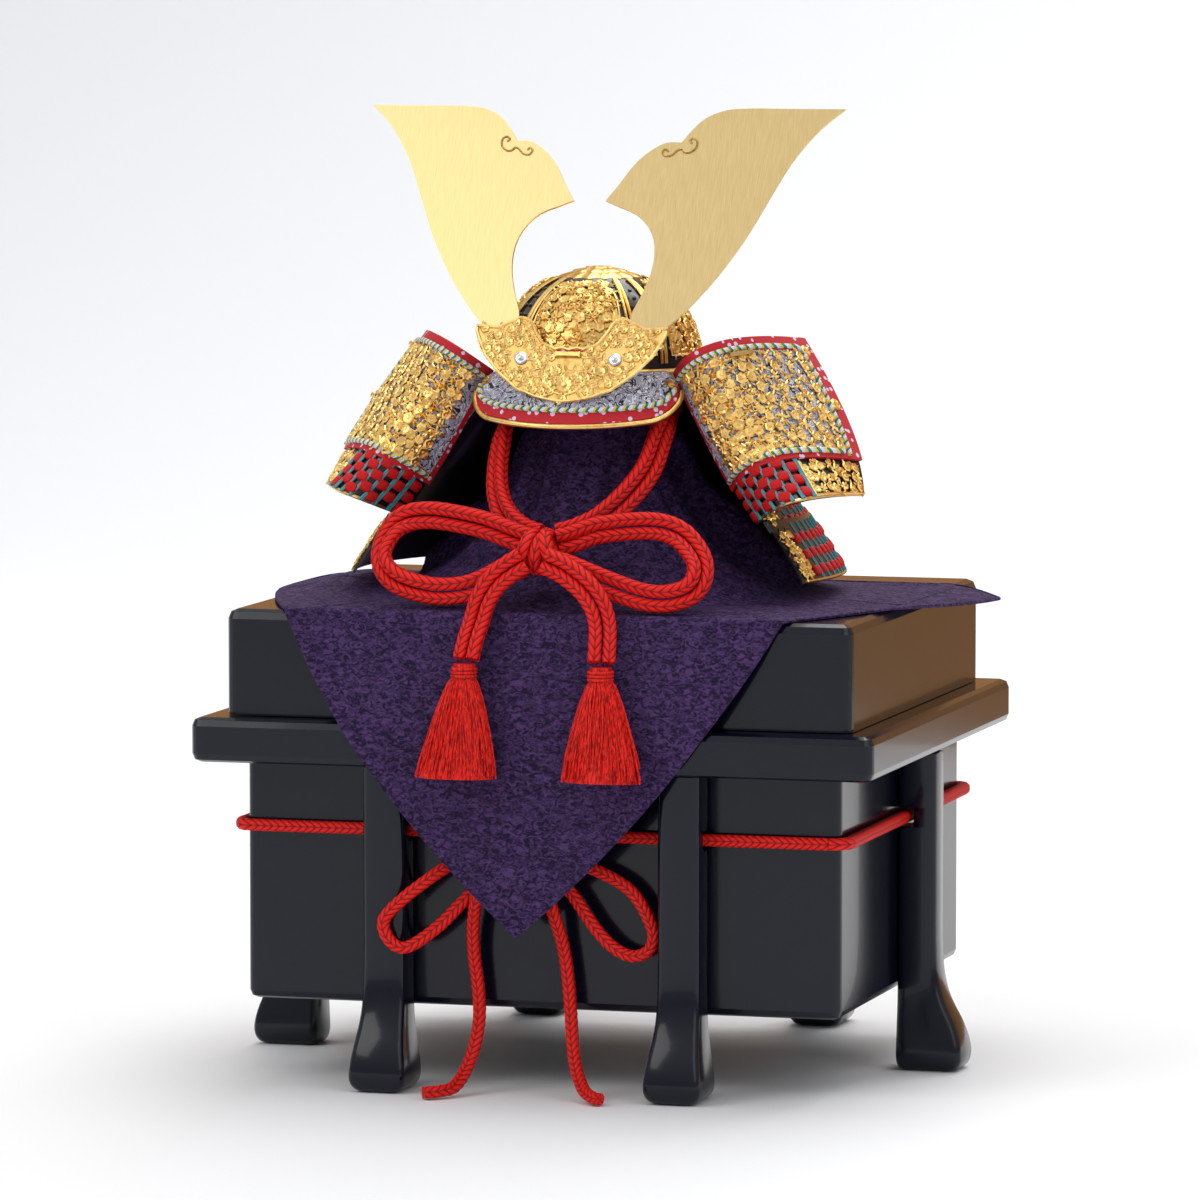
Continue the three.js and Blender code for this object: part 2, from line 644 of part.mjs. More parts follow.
// Visor: a flared apron whose ends round off. Rows give its section as shares
// of its reach outwards and its drop, from the rim band to the lower edge.
const visorRows = [
  { out: 0, down: 0 },
  { out: 0.48, down: 0.27 },
  { out: 0.82, down: 0.61 },
  { out: 1, down: 1 },
];
const visorRadius = bandOuter + seat;
const visorTop = rimBand.height - 2.4;
const visorRound = 19;
function visorSurface(u, v) {
  const angle = THREE.MathUtils.lerp(-visor.halfAngle, visor.halfAngle, u);
  const round = Math.max(0, Math.abs(angle) - (visor.halfAngle - visorRound)) / (visorRound + 2);
  const full = Math.sqrt(Math.max(0, 1 - round * round));
  const place = (1 - v) * full * (visorRows.length - 1);
  const low = THREE.MathUtils.clamp(Math.floor(place), 0, visorRows.length - 2);
  const share = place - low;
  const out = THREE.MathUtils.lerp(visorRows[low].out, visorRows[low + 1].out, share);
  const down = THREE.MathUtils.lerp(visorRows[low].down, visorRows[low + 1].down, share);
  const radius = visorRadius + visor.reach * out;
  const around = (angle - 90) * deg;
  const lift = 1 - 0.25 * (angle / visor.halfAngle) ** 2;
  return new THREE.Vector3(
    radius * Math.cos(around),
    radius * Math.sin(around),
    visorTop - visor.drop * down * lift,
  );
}
piece(helmet, 'visor', welded(plate(visorSurface, 14, 3, 0, visor.thickness)), leather);
const rimPoints = [];
for (let i = 0; i <= 14; i += 1) {
  const u = THREE.MathUtils.lerp(0.02, 0.98, i / 14);
  const edge = surfaceFrame(visorSurface, u, 0.02);
  const down = new THREE.Vector3(0, -visor.rimRadius - seat - 0.45, visor.thickness / 2);
  rimPoints.push(down.applyMatrix4(edge).toArray());
}
const visorRim = tube(rimPoints, 2 * visor.rimRadius, 2 * visor.rimRadius, 8, 12);
piece(helmet, 'visor_rim', welded(visorRim), gold);

// Leaning frame of the horn base: x across, y up the slope, z out of its back face.
const crest = new THREE.Group();
crest.position.copy(above(visorSurface, 0.5, 0.36, visor.thickness + seat));
crest.rotation.x = (90 - hornLean) * deg;
helmet.add(crest);

// Crescent outline of the base, right half, as shares of half width and height.
const baseOutline = [
  { x: 0, y: 0 }, { x: 0.24, y: 0.03 }, { x: 0.49, y: 0.14 }, { x: 0.71, y: 0.33 },
  { x: 0.87, y: 0.54 }, { x: 0.98, y: 0.79 }, { x: 1, y: 0.89 }, { x: 0.79, y: 0.87 },
  { x: 0.53, y: 1 }, { x: 0.43, y: 0.94 }, { x: 0.36, y: 0.8 }, { x: 0.24, y: 0.66 },
  { x: 0, y: 0.62 },
];
const baseShape = new THREE.Shape();
const basePoint = ({ x, y }) => [x * hornBase.halfWidth, y * hornBase.height];
for (const row of baseOutline) {
  baseShape.lineTo(...basePoint(row));
}
for (const row of baseOutline.slice(1, -1).reverse()) {
  baseShape.lineTo(...basePoint({ x: -row.x, y: row.y }));
}
let baseSolid = toSolid(new THREE.ExtrudeGeometry(baseShape, {
  depth: hornBase.thickness,
  bevelEnabled: false,
}));
const baseSpots = [
  { x: 0.13, y: 0.16, gap: true, turn: 20 },
  { x: 0.3, y: 0.24, gap: false, turn: 0 },
  { x: 0.27, y: 0.47, gap: true, turn: 60 },
  { x: 0.62, y: 0.42, gap: true, turn: 40 },
  { x: 0.76, y: 0.6, gap: false, turn: 0 },
  { x: 0.86, y: 0.76, gap: true, turn: 80 },
  { x: 0.46, y: 0.74, gap: true, turn: 110 },
  { x: 0.62, y: 0.8, gap: false, turn: 0 },
];
for (const mirror of [-1, 1]) {
  for (const spot of baseSpots) {
    const [x, y] = basePoint(spot);
    const at = new THREE.Matrix4().makeRotationZ(mirror * spot.turn * deg)
      .setPosition(mirror * x, y, 0);
    if (spot.gap) {
      baseSolid = baseSolid.subtract(toSolid(leaf(5, 2, 6).applyMatrix4(at)));
    } else {
      const raised = blossom(3.3, hornBase.thickness / 2, hornBase.thickness + 0.8);
      baseSolid = baseSolid.add(toSolid(raised.applyMatrix4(at)));
    }
  }
}
piece(crest, 'horn_base', toGeometry(baseSolid), gold);

// Rivets and the small bar on the base.
const rivetPlace = { x: 0.49, y: 0.5 };
const rivetProfile = [[0, 0], [1, 0], [1, 0.35], [0.6, 1], [0, 1]]
  .map(([radius, height]) => new THREE.Vector2(radius * rivet.radius, height * rivet.height));
for (const [name, side] of [['rivet_left', -1], ['rivet_right', 1]]) {
  const head = new THREE.LatheGeometry(rivetProfile, 8).rotateX(90 * deg);
  const [x, y] = basePoint(rivetPlace);
  piece(crest, name, welded(head), silver).position.set(side * x, y, hornBase.thickness + seat);
}
const barShape = new THREE.BoxGeometry(hornBar.length, hornBar.height, hornBar.thickness);
piece(crest, 'horn_bar', welded(barShape), gold)
  .position.set(0, 0.55 * hornBase.height, hornBase.thickness + seat + hornBar.thickness / 2);

// Horn outline, right one, as shares of reach and height over the top of the base.
const hornOutline = [
  { x: 0.25, y: -0.09 }, { x: 0.386, y: -0.09 }, { x: 0.392, y: 0.013 }, { x: 0.454, y: 0.084 },
  { x: 0.558, y: 0.228 }, { x: 0.656, y: 0.404 }, { x: 0.732, y: 0.581 }, { x: 0.809, y: 0.754 },
  { x: 0.902, y: 0.898 }, { x: 1, y: 1 }, { x: 0.837, y: 0.994 }, { x: 0.619, y: 0.986 },
  { x: 0.517, y: 0.974 }, { x: 0.439, y: 0.938 }, { x: 0.388, y: 0.884 }, { x: 0.347, y: 0.822 },
  { x: 0.28, y: 0.816 }, { x: 0.212, y: 0.769 }, { x: 0.16, y: 0.707 }, { x: 0.114, y: 0.626 },
  { x: 0.066, y: 0.551 }, { x: 0.116, y: 0.53 }, { x: 0.2, y: 0.495 }, { x: 0.262, y: 0.434 },
  { x: 0.293, y: 0.354 }, { x: 0.294, y: 0.256 }, { x: 0.27, y: 0.156 }, { x: 0.232, y: 0.05 },
  { x: 0.25, y: 0.008 },
];
const hornShape = new THREE.Shape();
const hornPivot = hornOutline[0].x * horn.reach;
for (const row of hornOutline) {
  hornShape.lineTo(row.x * horn.reach - hornPivot, row.y * horn.height);
}
const hornPlate = new THREE.ExtrudeGeometry(hornShape, { depth: horn.thickness, bevelEnabled: false });
hornPlate.translate(0, 0, -horn.thickness);
for (const [name, side] of [['horn_left', -1], ['horn_right', 1]]) {
  const plane = new THREE.Group();
  plane.position.set(side * hornPivot, horn.start, -seat);
  plane.rotation.y = side * horn.sweep * deg;
  crest.add(plane);
  piece(plane, name, side > 0 ? welded(hornPlate.clone()) : mirrored(hornPlate), paleGold);
}

// Turned-back wing: a patch through nine points. Each row is one point, as shares of
// the wing's reach outwards, its reach forwards and its drop, from lower edge to top.
const wingRows = [
  [{ out: 0.657, back: -0.619, up: -1 }, { out: 0.855, back: -1, up: -0.788 },
    { out: 1, back: -0.077, up: -0.805 }],
  [{ out: 0.505, back: -0.555, up: -0.524 }, { out: 0.664, back: -0.725, up: -0.293 },
    { out: 0.912, back: 0.16, up: -0.337 }],
  [{ out: 0.344, back: -0.479, up: 0.078 }, { out: 0.506, back: -0.606, up: 0.307 },
    { out: 0.707, back: 0.451, up: 0.278 }],
];
const three = (t) => [2 * (t - 0.5) * (t - 1), 4 * t * (1 - t), 2 * t * (t - 0.5)];
function wingSurface(u, v) {
  const across = three(u);
  const up = three(v);
  const point = new THREE.Vector3();
  wingRows.forEach((row, j) => row.forEach((share, i) => {
    const weight = across[i] * up[j];
    point.x += weight * share.out * wing.reach;
    point.y += weight * share.back * wing.forward;
    point.z += weight * share.up * wing.drop;
  }));
  return point;
}
const wingLow = { u: [0, 1], v: [0, wing.split + wing.lapShare] };
const wingHigh = { u: [0, 1], v: [wing.split, 1] };
const wingBack = -wing.thickness - seat - 0.1;
const upperWing = plate(wingSurface, 8, 4, 0, wing.thickness, wingHigh);
const lowerWing = plate(wingSurface, 8, 2, wingBack, -seat - 0.1, wingLow);

// Gold openwork on the wings, with studs of stepped rings.
const highGold = { u: [0.15, 0.965], v: [wing.split + 0.045, 0.925] };
const lowGold = { u: [0.62, 0.97], v: [0.015, wing.split - 0.012] };
const wingPlateGap = seat + 0.15;
const overWing = {
  under: wing.thickness + wingPlateGap,
  over: wing.thickness + wingPlateGap + wingPlate.thickness,
};
const lowPlateGap = 0.3;
const overLow = { under: lowPlateGap, over: lowPlateGap + wingPlate.thickness };
const wingGoldSizes = { blossom: 3.7, relief: 0.9, leaf: 7.2 };
const highCells = { columns: 8, rows: 3, across: 4, up: 3 };
const lowCells = { columns: 4, rows: 2, across: 3, up: 1 };
let wingGold = openwork(wingSurface, highGold, overWing, highCells, wingGoldSizes);
const studSpots = [
  { u: 0.955, v: 0.92 },
  { u: 0.965, v: 0.62 },
  { u: 0.4, v: wing.split + 0.06 },
];
const studProfile = [[0, 0], [1, 0], [1, 0.4], [0.45, 1], [0, 1]];
for (const spot of studSpots) {
  const profile = studProfile.map(([radius, height]) => new THREE.Vector2(
    radius * stud.radius,
    overWing.under + height * (stud.height + wingPlate.thickness),
  ));
  const head = new THREE.LatheGeometry(profile, 6).rotateX(90 * deg);
  wingGold = wingGold.add(toSolid(head.applyMatrix4(surfaceFrame(wingSurface, spot.u, spot.v))));
}
const lowerGold = openwork(wingSurface, lowGold, overLow, lowCells, wingGoldSizes);
const sides = [['left', true], ['right', false]];
for (const [side, flip] of sides) {
  const placed = (geometry) => (flip ? mirrored(geometry) : welded(geometry.clone()));
  piece(helmet, `wing_${side}`, placed(upperWing), leather);
  piece(helmet, `wing_gold_${side}`, placed(toGeometry(wingGold)), gold);
  piece(helmet, `wing_lower_${side}`, placed(lowerWing), laced);
  piece(helmet, `wing_lower_gold_${side}`, placed(toGeometry(lowerGold)), gold);
}

// Neck guard. Each lame is a band of one cone, its top lifted to lap over the lame above.
const neckTop = bandOuter + seat + 0.1;
const neckRadius = (z) => THREE.MathUtils.lerp(neckTop, neck.radius, -z / neck.drop);
const lift = neck.thickness + 2.5 * seat;
const lamePitch = neck.drop / neck.lames;
const foldGap = 1.4;
function wingEdge(z) {
  const shares = wingRows.map((row) => row[0]);
  const heights = shares.map(({ up }) => up * wing.drop);
  const angles = shares.map(({ out, back }) => Math.atan2(-back * wing.forward, out * wing.reach));
  const upper = z > heights[1] ? 1 : 0;
  const share = (z - heights[upper]) / (heights[upper + 1] - heights[upper]);
  return THREE.MathUtils.lerp(angles[upper], angles[upper + 1], Math.max(-0.6, share));
}
for (let i = 0; i < neck.lames; i += 1) {
  const bottom = -(i + 1) * lamePitch;
  const top = -i * lamePitch + (i === 0 ? 0 : neck.lap);
  const surface = (u, v) => {
    const z = THREE.MathUtils.lerp(bottom, top, v);
    const raised = i === 0 ? 0 : v * lift;
    const radius = neckRadius(z) + raised;
    const front = wingEdge(z) - foldGap / radius;
    const around = THREE.MathUtils.lerp(-front, Math.PI + front, u);
    return new THREE.Vector3(radius * Math.cos(around), radius * Math.sin(around), z);
  };
  piece(helmet, `lame_${i + 1}`, welded(plate(surface, 16, 1, 0, neck.thickness)), lame);
}

// Chosen points of the chin cord, behind the post and down to the bow.
const cordRoutes = {
  chin_cord_left: [
    [-0.6, 18, 294], [-13, 16.2, 294], [-24.3, 8, 294], [-31.7, -4, 293.6], [-33.6, -16, 293],
    [-34, -29, 291], [-34, -42, 287], [-33.6, -52, 281], [-32.6, -64, 267], [-29.5, -74, 256],
    [-23.3, -83.5, 247.4], [-14, -90.5, 241.5], [-4, -93, 238.5],
  ],
  chin_cord_right: [
    [0.6, 18, 294], [13, 16.2, 294], [24.3, 8, 294], [31.7, -4, 293.6], [34, -16, 293],
    [36, -29, 291], [37.8, -42, 287], [37.8, -53, 280], [35.8, -65, 267], [29, -75.5, 255.5],
    [20.1, -85, 246.3], [11, -91, 241.5], [2, -93, 239],
  ],
  bow_loop_left: [
    [-3, -102, 236.5], [-14, -100.5, 239.5], [-30.5, -98.5, 244.6], [-53.4, -97.5, 247.7],
    [-66.5, -98.5, 244.4], [-72.8, -102, 235], [-72, -106, 226.5], [-64, -110, 220],
    [-48.8, -112.5, 216.4], [-36, -112.5, 216.7], [-26, -111, 219.5], [-14, -108.8, 226], [-3, -108.5, 229.5],
  ],
  bow_loop_right: [
    [1, -102, 236.5], [12, -100.5, 239], [23.5, -98.5, 243.1], [45.6, -97.5, 245.3], [59, -99, 242],
    [68.5, -103.5, 233], [70.8, -108.5, 225], [67, -112, 218.6], [57, -114, 215.6], [45.6, -113.5, 216.4],
    [30, -111.5, 221], [12, -109, 227.2], [1, -108.5, 229.5],
  ],
  bow_tail_left: [
    [-5, -116.6, 231], [-12, -118.8, 226.5], [-18, -121, 220.5], [-21.8, -123.6, 213], [-23.6, -126, 205],
    [-25, -130.5, 197.5], [-26, -134, 189.4],
  ],
  bow_tail_right: [
    [4, -116.6, 231], [14, -119.4, 227], [24, -122.4, 220], [30, -124.6, 212.4], [32.6, -126.6, 205],
    [33.8, -130.7, 197.5], [34.2, -134, 189.4],
  ],
};
const bowKnotCentre = [-1, -105.5, 233];
const bowKnotHalf = [chinCord.knotWidth, chinCord.knotDepth, chinCord.knotWidth];
piece(model, 'bow_knot', welded(knot(bowKnotCentre, ...bowKnotHalf)), ropeRed);
const bowKnotRoom = toSolid(knot(bowKnotCentre, ...bowKnotHalf.map((half) => half + 2 * seat)));
for (const [name, points] of Object.entries(cordRoutes)) {
  const pair = doubleStrand(points, chinCord.diameter, name.includes('tail') ? 4 : 11);
  piece(model, name, toGeometry(toSolid(pair).subtract(bowKnotRoom)), ropeRed);
}

// Tassels: a bound neck and a skirt of locks. Rows give height and radius shares.
const tasselRows = [
  { height: 0, radius: 0.97 }, { height: 0.3, radius: 0.93 }, { height: 0.6, radius: 0.66 },
  { height: 1 - tassel.neckShare, radius: 0.3 }, { height: 1, radius: 0.2 },
];
const tasselPlaces = [
  { name: 'tassel_left', top: [-26.4, -135, 187.4], lean: -0.9, lead: -10.4 },
  { name: 'tassel_right', top: [34.4, -135, 187.4], lean: 3.2, lead: -10.4 },
];
for (const { name, top, lean, lead } of tasselPlaces) {
  const sidesRound = 2 * tassel.locks;
  const shape = lofted(sidesRound, tasselRows.length, (level, side, centre) => {
    const row = tasselRows[level];
    const neckSize = Math.max(row.radius * tassel.hemRadius, tassel.neckRadius);
    const lock = level < 3 && side % 2 === 0 ? 0.93 : 1;
    const radius = centre ? 0 : neckSize * lock;
    const angle = side * 360 * deg / sidesRound;
    const flat = level > 2 ? 1 : tassel.flatness;
    const fall = 1 - row.height;
    return new THREE.Vector3(
      lean * fall + radius * Math.cos(angle),
      lead * fall + radius * flat * Math.sin(angle),
      -fall * tassel.height,
    );
  });
  piece(model, name, welded(shape), ropeRed).position.set(...top);
}

export default model;
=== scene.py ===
"""Miniature display kabuto over a purple cloth on its black lacquered storage chest."""
import math
import random
import bmesh
import bpy
from mathutils import Matrix, Vector


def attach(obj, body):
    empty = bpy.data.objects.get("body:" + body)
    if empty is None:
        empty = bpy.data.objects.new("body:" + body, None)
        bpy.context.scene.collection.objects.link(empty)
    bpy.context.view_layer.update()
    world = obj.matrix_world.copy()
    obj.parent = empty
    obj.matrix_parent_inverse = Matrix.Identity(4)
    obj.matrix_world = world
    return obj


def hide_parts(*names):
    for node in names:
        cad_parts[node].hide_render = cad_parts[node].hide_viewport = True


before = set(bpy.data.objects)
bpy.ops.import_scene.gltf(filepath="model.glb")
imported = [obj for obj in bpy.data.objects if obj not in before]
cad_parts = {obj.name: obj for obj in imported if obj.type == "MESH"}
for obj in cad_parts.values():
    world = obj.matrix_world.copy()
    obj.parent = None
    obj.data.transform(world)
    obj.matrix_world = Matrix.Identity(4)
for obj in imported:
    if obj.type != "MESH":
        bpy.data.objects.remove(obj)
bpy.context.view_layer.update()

# Camera at the photograph's place, a long lens a little above the lid.
# The lens and the place come from measuring the chest's corners in the picture.
camera_data = bpy.data.cameras.new("camera")
camera_data.lens = 249.6
camera_data.sensor_width = 36
camera_data.clip_end = 60
camera = bpy.data.objects.new("camera", camera_data)
camera.location = (0.99942, -3.53224, 0.54407)
camera.rotation_euler = (math.radians(90 - 5.3014), 0, math.radians(15.8641))
bpy.context.scene.collection.objects.link(camera)
bpy.context.scene.camera = camera
bpy.context.scene.view_settings.view_transform = "Standard"


# Floor and soft studio light: one big key from the upper left, a fill from the right,
# and a warm wall behind that only the lacquer and the gold reflect.
def solid(name, parts, look, body="root", mirrored=False):
    """Mesh object of a piece drawn in mm, made of its parts in turn.

    A part is a maker that works on the mesh with operators or, where strands or castings
    follow a line, its points, its faces and a UV pair for each corner of each face.
    """
    mesh_maker = bmesh.new()
    uv_layer = mesh_maker.loops.layers.uv.new("UVMap")
    for part in parts:
        if callable(part):
            part(mesh_maker)
            continue
        points, faces, uvs = part
        corners = [mesh_maker.verts.new(point) for point in points]
        for face, pairs in zip(faces, uvs):
            made = mesh_maker.faces.new([corners[i] for i in face])
            for loop, uv in zip(made.loops, pairs):
                loop[uv_layer].uv = uv
    for face in mesh_maker.faces:
        face.smooth = True
    metres = Vector((-0.001 if mirrored else 0.001, 0.001, 0.001))
    bmesh.ops.scale(mesh_maker, vec=metres, verts=mesh_maker.verts)
    bmesh.ops.recalc_face_normals(mesh_maker, faces=mesh_maker.faces)
    mesh = bpy.data.meshes.new(name)
    mesh_maker.to_mesh(mesh)
    mesh_maker.free()
    mesh.set_sharp_from_angle(angle=math.radians(42))
    mesh.materials.append(look)
    made_object = bpy.data.objects.new(name, mesh)
    bpy.context.scene.collection.objects.link(made_object)
    if body:
        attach(made_object, body)
    return made_object


def node_maker(tree):
    """A maker of wired nodes in a tree: each input is a value or another node's socket."""
    def node(kind, inputs=(), **settings):
        made = tree.nodes.new(kind)
        for key, value in settings.items():
            setattr(made, key, value)
        for key, value in dict(inputs).items():
            if isinstance(value, bpy.types.NodeSocket):
                tree.links.new(value, made.inputs[key])
            else:
                made.inputs[key].default_value = value
        return made

    return node


def material(name, base, roughness=0.5, metallic=0.0):
    """A node material, its tree, its main shader and a maker of wired nodes."""
    look = bpy.data.materials.new(name)
    look.use_nodes = True
    tree = look.node_tree
    shader = tree.nodes["Principled BSDF"]
    shader.inputs["Base Color"].default_value = (*base, 1)
    shader.inputs["Roughness"].default_value = roughness
    shader.inputs["Metallic"].default_value = metallic
    return look, tree, shader, node_maker(tree)


def reckon(node, operation, *values):
    """Socket of a sum on values or sockets."""
    return node("ShaderNodeMath", dict(enumerate(values)), operation=operation).outputs[0]


def mixed(node, share, low, high):
    """Colour socket between two colours, by the share of the second."""
    return node("ShaderNodeMix", {0: share, 6: low, 7: high}, data_type="RGBA").outputs[2]


def bumped(tree, shader, node, strength, distance, height):
    """Fine relief of a look, its distance in metres and its height a socket."""
    bump = node("ShaderNodeBump", {"Strength": strength, "Distance": distance, "Height": height})
    tree.links.new(bump.outputs[0], shader.inputs["Normal"])


floor_look, floor_tree, floor_shader, floor_node = material("floor", (0.86, 0.86, 0.87), 0.6)
floor_grain = floor_node("ShaderNodeTexNoise", {"Scale": 30})
floor_tree.links.new(
    floor_node("ShaderNodeBump", {"Strength": 0.02, "Height": floor_grain.outputs[0]}).outputs[0],
    floor_shader.inputs["Normal"],
)
sweep_start, sweep_radius, sweep_half_width = 2200, 1500, 7000


def floor_sweep(mesh_maker):
    """A pale sheet on the floor that curves up behind the piece."""
    profile = [(-6000, 0)]
    for step in range(25):
        angle = math.pi / 2 * step / 24
        profile.append((
            sweep_start + sweep_radius * math.sin(angle), sweep_radius - sweep_radius * math.cos(angle)))
    profile.append((sweep_start + sweep_radius, 6000))
    line = [mesh_maker.verts.new((-sweep_half_width, y, z)) for y, z in profile]
    edges = [mesh_maker.edges.new(pair) for pair in zip(line, line[1:])]
    across = bmesh.ops.extrude_edge_only(mesh_maker, edges=edges)["geom"]
    moved = [part for part in across if isinstance(part, bmesh.types.BMVert)]
    bmesh.ops.translate(mesh_maker, vec=(2 * sweep_half_width, 0, 0), verts=moved)


def reflected_wall(mesh_maker):
    """Upright sheet behind the piece."""
    upright = Matrix.Translation((850, 1250, 650.5)) @ Matrix.Rotation(math.pi / 2, 4, "X")
    size = Matrix.Diagonal((3500, 1299, 1, 1))
    bmesh.ops.create_grid(mesh_maker, x_segments=1, y_segments=1, size=0.5, matrix=upright @ size)


floor = solid("floor", [floor_sweep], floor_look, None)
if floor.data.polygons[0].normal.z < 0:
    floor.data.flip_normals()
facing = floor_node("ShaderNodeNewGeometry")
clear = floor_node("ShaderNodeBsdfTransparent")
one_sided = floor_node("ShaderNodeMixShader", {
    0: facing.outputs["Backfacing"], 1: floor_shader.outputs[0], 2: clear.outputs[0]})
floor_tree.links.new(one_sided.outputs[0], floor_tree.nodes["Material Output"].inputs["Surface"])
wall_look, wall_tree, wall_shader, wall_node = material("warm_wall", (0, 0, 0), 1)
wall_shader.inputs["Emission Color"].default_value = (0.62, 0.3, 0.1, 1)
wall_shader.inputs["Emission Strength"].default_value = 0.75
wall = solid("warm_wall", [reflected_wall], wall_look, None)
wall.visible_camera = False
wall.visible_diffuse = False
wall.visible_shadow = False
lights = [
    ("key", (-1.7, -2.0, 2.1), 1.6, 21, (1, 0.985, 0.96)),
    ("fill", (2.3, -1.6, 1.5), 1.8, 10, (0.93, 0.96, 1)),
    ("top", (0.1, 0.5, 2.6), 1.6, 20, (1, 1, 1)),
    ("back", (0.4, 2.4, 2.4), 2.4, 46, (1, 1, 1)),
]
for light_name, place, size, power, color in lights:
    light_data = bpy.data.lights.new(light_name, "AREA")
    light_data.size = size
    light_data.energy = power
    light_data.color = color
    light = bpy.data.objects.new(light_name, light_data)
    light.location = place
    aim = Vector((0, 0, 0.22)) - light.location
    light.rotation_euler = aim.to_track_quat("-Z", "Y").to_euler()
    bpy.context.scene.collection.objects.link(light)
world = bpy.data.worlds.new("studio")
world.use_nodes = True
sky = world.node_tree
sky_node = node_maker(sky)
upward = sky_node("ShaderNodeSeparateXYZ", {0: sky_node("ShaderNodeTexCoord").outputs["Generated"]})
brighter = sky_node("ShaderNodeMapRange", {
    "Value": upward.outputs[2], "From Min": 0.1, "From Max": 0.8, "To Min": 0.4, "To Max": 0.85})
sky.links.new(brighter.outputs[0], sky.nodes["Background"].inputs[1])
sky.nodes["Background"].inputs[0].default_value = (0.96, 0.98, 1, 1)
bpy.context.scene.world = world

# Storage chest: board box, collar and lift-off lid in polished black lacquer.
# The boards are the imported ones, with rounded edges shaded smooth.
# The black has a slight blue tint, a painted reflection of the cool surroundings in front.
lacquer, tree, shader, node = material("lacquer", (0.003, 0.004, 0.011), 0.1)
place = node("ShaderNodeTexCoord")
haze = node("ShaderNodeTexNoise", {"Vector": place.outputs["Object"], "Scale": 9, "Detail": 3})
rough = node("ShaderNodeMapRange", {"Value": haze.outputs[0], "To Min": 0.13, "To Max": 0.22})
tree.links.new(rough.outputs[0], shader.inputs["Roughness"])
ripple = node("ShaderNodeTexNoise", {"Vector": place.outputs["Object"], "Scale": 160, "Detail": 1})
bumped(tree, shader, node, 0.02, 0.0005, ripple.outputs[0])
shader.inputs["Specular IOR Level"].default_value = 0.24
shader.inputs["Coat Weight"].default_value = 0.2
shader.inputs["Coat Roughness"].default_value = 0.04
for name in ("chest_body", "chest_collar", "chest_lid"):
    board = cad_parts[name]
    board.data.materials.clear()
    board.data.materials.append(lacquer)
    board.data.shade_smooth()
    board.data.set_sharp_from_angle(angle=math.radians(40))


# Legs: turned-out feet under chamfered posts, cut back where the rope passes.
# Levels from the floor up: height, reach forward, half width, depth of the back.
def smooth_rows(rows, count):
    """Rows of numbers between the given ones, on a smooth line."""
    made = []
    for step in range(count + 1):
        t = step / count * (len(rows) - 1)
        i = min(int(t), len(rows) - 2)
        t -= i
        a, b, c, d = rows[max(i - 1, 0)], rows[i], rows[i + 1], rows[min(i + 2, len(rows) - 1)]
        made.append([
            0.5 * (2 * q + (r - p) * t + (2 * p - 5 * q + 4 * r - s) * t * t
                   + (3 * q - p - 3 * r + s) * t ** 3)
            for p, q, r, s in zip(a, b, c, d)
        ])
    return made


def drawn_up(rings):
    """Maker of a solid drawn up from its first outline through the others."""
    def make(mesh_maker):
        face = mesh_maker.faces.new([mesh_maker.verts.new(corner) for corner in rings[0]])
        for number, ring in enumerate(rings[1:]):
            level = bmesh.ops.extrude_face_region(mesh_maker, geom=[face])["geom"]
            if number:
                bmesh.ops.delete(mesh_maker, geom=[face], context="FACES_ONLY")
            face = next(part for part in level if isinstance(part, bmesh.types.BMFace))
            for corner, place in zip(face.verts, ring):
                corner.co = place

    return make


leg_table = [
    [0, -24.6, 7.6, -2.2], [1.4, -27.8, 10.6, -0.7], [5, -29.4, 12.6, 0], [11, -29.3, 12.6, 0],
    [20, -26.6, 11.4, 0], [31, -21.3, 10.1, 0], [43, -18.2, 9.6, 0], [60, -17.4, 9.5, 0],
    [85, -17.4, 9.5, 0], [107.6, -17.4, 9.5, 0],
]
rope_notch = [[107.7, -17.4, 9.5, -6.9], [116.3, -17.4, 9.5, -6.9]]
leg_rows = smooth_rows(leg_table[:8], 24) + leg_table[8:] + rope_notch
leg_rows += [[116.4, -17.4, 9.5, 0], [140.25, -17.4, 9.5, 0]]
leg_chamfer = 3.4
leg_places = [
    ("leg_front_left", -66, 0, -109.4), ("leg_front_right", 66, 0, -109.4),
    ("leg_back_right", -66, 180, -109.4), ("leg_back_left", 66, 180, -109.4),
    ("leg_side_right", 0, 90, -133.55), ("leg_side_left", 0, -90, -133.55),
]
for leg_name, leg_x, turn, face_y in leg_places:
    turned = Matrix.Rotation(math.radians(turn), 3, "Z")
    rings = []
    for z, front, half, back in leg_rows:
        ring = []
        for corner, (x, y) in enumerate(((half, back), (-half, back), (-half, front), (half, front))):
            inner_x = leg_x + x - math.copysign(leg_chamfer, x)
            inner_y = face_y + y + (leg_chamfer if y == front else -leg_chamfer)
            for step in range(4):
                angle = math.radians(corner * 90 + step * 30)
                ring.append(turned @ Vector((
                    inner_x + leg_chamfer * math.cos(angle), inner_y + leg_chamfer * math.sin(angle), z)))
        rings.append(ring)
    leg = solid(leg_name + "_lacquered", [drawn_up(rings)], lacquer)
    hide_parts(leg_name)


